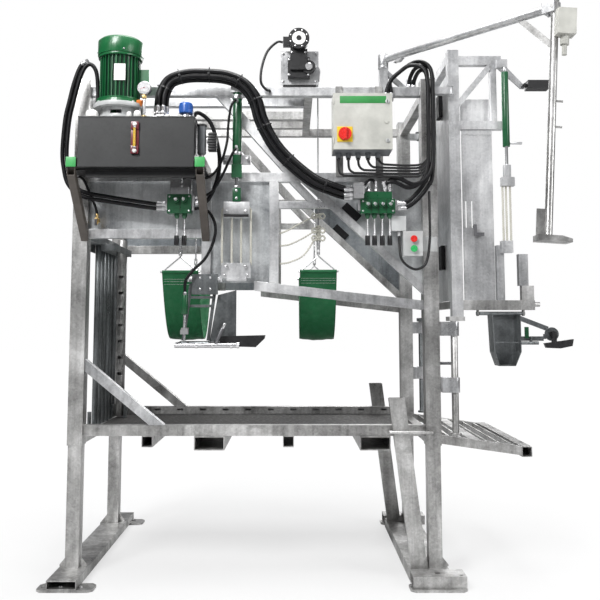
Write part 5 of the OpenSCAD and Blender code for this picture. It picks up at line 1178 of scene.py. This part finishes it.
SWITCH_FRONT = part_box("main_switch")[0].y + 0.0172
for row in (
        ("skids", ZINC, 0.004),
        ("lift_barrels", GREY),
        ("corner_posts", ZINC, 0.004, [(ZINC_PALE, lambda c, s: s.z < 0.3)]),
        # Far rails and roof parts take the darker zinc and near ones the paler: painted shade
        # and painted light.
        ("side_rails", ZINC_PALE, 0.003, [(ZINC, lambda c, s: c.y > 0.2)]),
        ("roof_and_braces", ZINC_PALE, 0.003, [(ZINC, lambda c, s: c.y > -0.2)]),
        # far side sheets take the painted shade copy of the sheet zinc
        ("side_sheets", ZINC_SHEET, 0.0008, [(ZINC_PAINTED_SHADE, lambda c, s: c.y > 0.2)]),
        ("rubber_pads", RUBBER, 0.004),
        ("platform_frame", ZINC, 0.003),
        ("floor_mat", MAT, 0.001),
        ("entry_step", ZINC, 0.002),
        ("head_gate_frame", ZINC_DARK, 0.002),
        ("neck_bar", ZINC, 0.001),
        ("lift_rods", CHROME, 0),
        # Painted shade: the wide plates under the tank are black; the struts keep their
        # brown-grey.
        ("pack_bracket", EARTH, 0.002, [(BLACK, lambda c, s: s.x > 0.3)]),
        ("oil_tank", CHARCOAL, 0.003),
        ("pump_unit", GREY, 0.0015, [(PALE_GREY, lambda c, s: c.z > LID.z)]),
        ("motor_body", LEAF_GREEN, 0.0012, [(WHITE, lambda c, s: s.x < 0.09 and s.y < 0.03)],
         [(PALE_GREY, lambda c: c.z < MOTOR.z + 0.0225),
          # grooves between the motor's fins: painted shade in darker green
          (GREEN_PAINTED_SHADE, lambda c: MOTOR.z + 0.052 < c.z < MOTOR.z + 0.28
           and math.hypot(c.x - MOTOR.x, c.y - MOTOR.y) < 0.1)]),
        ("motor_rotor", STEEL, 0),
        ("control_cabinet", CREAM, 0.002, [
            (PLASTIC, lambda c, s: s.x < 0.035 and s.y < 0.035 and c.z < CABINET.z + 0.02),
            (ZINC, lambda c, s: c.y > -0.52 and s.x < 0.06)],
         # bottom strip of the cabinet front in dark grey: the gland plate's own grey, with
         # painted shade under the cabinet
         [(GREY, lambda c: c.z < CABINET.z + 0.001 and c.y < -0.53)]),
        ("cabinet_door", CREAM, 0.002, [
            (YELLOW, lambda c, s: 0.06 < s.x < 0.1 and s.z < 0.1)]),
        ("main_switch", DARK_RED, 0.0015, (), [(RED, lambda c: c.y < SWITCH_FRONT)]),
        ("valve_banks", GREEN, 0.002, [
            (STEEL, lambda c, s: s.x < 0.02 or c.z > LEVER_Z + 0.11),
            (GREY, lambda c, s: c.y > -0.53)]),
        *((lever, PLASTIC, 0.001, (), [(BRIGHT, lambda c: c.z > LEVER_Z - 0.107)])
          for lever in ("front_lever_a", "front_lever_b", "rear_lever_a", "rear_lever_b",
                        "rear_lever_c", "rear_lever_d")),
        ("button_box", PALE_GREY, 0.003),
        ("start_button", LEAF),
        ("stop_button", RED),
        ("winch_body", BLACK, 0.002, [(ZINC_PALE, lambda c, s: s.y < 0.02 and s.z > 0.12)]),
        ("winch_hook", BRIGHT, 0.001),
        ("band_rings", BRIGHT, 0.0008),
        ("boom_arm", ZINC_PALE),
        ("boom_hanger", ZINC, 0.0015, [(CREAM, lambda c, s: c.z > 2.5 and s.z < 0.3)]),
        ("front_hoist_cylinder", ZINC_PALE, 0.0015, [
            (GREEN, lambda c, s: c.z > BEAM_Z and s.x < 0.06 and s.y < 0.055 < 0.06 < s.z),
            (STEEL, lambda c, s: s.x < 0.06 and s.z < 0.06)]),
        ("front_hoof_rest", ZINC_DARK, 0.0015, [
            (GREEN, lambda c, s: abs(c.x + 0.366) < 0.01 and s.z > 0.09 and s.x < 0.04),
            (STEEL, lambda c, s: s.x < 0.05 and s.z < 0.08)]),
        ("front_paddle", BLACK, 0.003),
        # The near gate is darker below 1.5 m and paler above: painted shade low down, painted
        # light on top.
        ("near_gate", ZINC_PALE, 0.002, [(ZINC, lambda c, s: c.z < 1.5)]),
        ("gate_buffers", RUBBER, 0.004),
        # Painted shade: the far gate takes the darkest zinc.
        ("far_gate", ZINC_DARK, 0.002),
        ("rear_hoist_cylinder", ZINC_PALE, 0.0015, [
            (GREEN, lambda c, s: s.z > 0.3 and s.x < 0.05)]),
        ("rear_hoist_rod", ZINC_PALE, 0.001, [(CHROME, lambda c, s: s.z > 0.2)]),
        ("rear_hoof_rest", ZINC_DARK, 0.0015, [
            (GREEN, lambda c, s: s.y < 0.006 and s.x < 0.03)]),
        ("rear_paddle", BLACK, 0.003),
        ("gate_latch", TOOL, 0.001),
        ("panel_latch", TOOL, 0.001),
        ("work_lamp", BLACK, 0.004)):
    finish(*row)


# Floor and light

def make_floor(half=30):
    """Pale floor that fades to white away from the part, where the camera sees it."""
    mesh = bpy.data.meshes.new("floor")
    mesh.from_pydata([(-half, -half, 0), (half, -half, 0), (half, half, 0),
                      (-half, half, 0)], [], [(0, 1, 2, 3)])
    floor = bpy.data.objects.new("floor", mesh)
    m = Look("floor", (0.62, 0.62, 0.62), 0.9)
    glow = m.add("Emission")
    m.plug((1, 1, 1), glow.inputs["Color"])
    m.plug(1.03, glow.inputs["Strength"])
    far = m.add("VectorMath", operation="LENGTH")
    m.plug(m.where, far.inputs[0])
    away = m.ramp(m.times(far.outputs["Value"], 0.1), (0.1, 0.62), (0.3, 1.0))
    m.end("Material Output", m.times(m.seen(), away), m.shader.outputs[0], glow.outputs[0])
    mesh.materials.append(m.material)
    bpy.context.scene.collection.objects.link(floor)


def make_studio():
    """White where the camera looks past the part; walls that the steel mirrors are
    darker low down and towards both ends, so flanks read against fronts."""
    world = bpy.data.worlds.new("studio")
    m = Nodes(world)
    way = m.add("TexCoord").outputs["Generated"]
    ramp = m.ramp(m.part(way, "Z"), *[(place, (value, value, value * 1.02)) for place, value
                  in ((0.0, 0.34), (0.12, 0.5), (0.3, 0.86), (0.55, 1.0), (1.0, 0.8))])
    ends = m.times(m.maths("ABSOLUTE", m.part(way, "X")), 0.72)
    walls = m.add("VectorMath", operation="SCALE")
    m.plug(ramp, walls.inputs[0])
    m.plug(m.maths("SUBTRACT", 1.0, ends), walls.inputs["Scale"])
    plain, white = m.tree.nodes["Background"], m.add("Background")
    m.plug(0.44, plain.inputs["Strength"])
    m.plug(walls.outputs["Vector"], plain.inputs["Color"])
    m.plug((1, 1, 1), white.inputs["Color"])
    m.end("World Output", m.seen(), plain.outputs[0], white.outputs[0])
    bpy.context.scene.world = world

    aim = Vector((0.1, 0, 1.3))
    for name, place, size, power in (
            ("key", (-2.6, -4.8, 5.6), 2.4, 430), ("fill", (4.6, -3.4, 3.4), 2.6, 95),
            ("top", (0.3, -0.4, 6.4), 3.4, 380), ("rear", (1.5, 5.0, 4.2), 3.0, 130)):
        data = bpy.data.lights.new(name, "AREA")
        data.shape, data.size, data.energy = "DISK", size, power
        lamp = bpy.data.objects.new(name, data)
        lamp.location = place
        lamp.rotation_euler = (aim - Vector(place)).to_track_quat("-Z", "Y").to_euler()
        bpy.context.scene.collection.objects.link(lamp)


make_floor()
make_studio()
bpy.context.scene.view_settings.view_transform = "Standard"
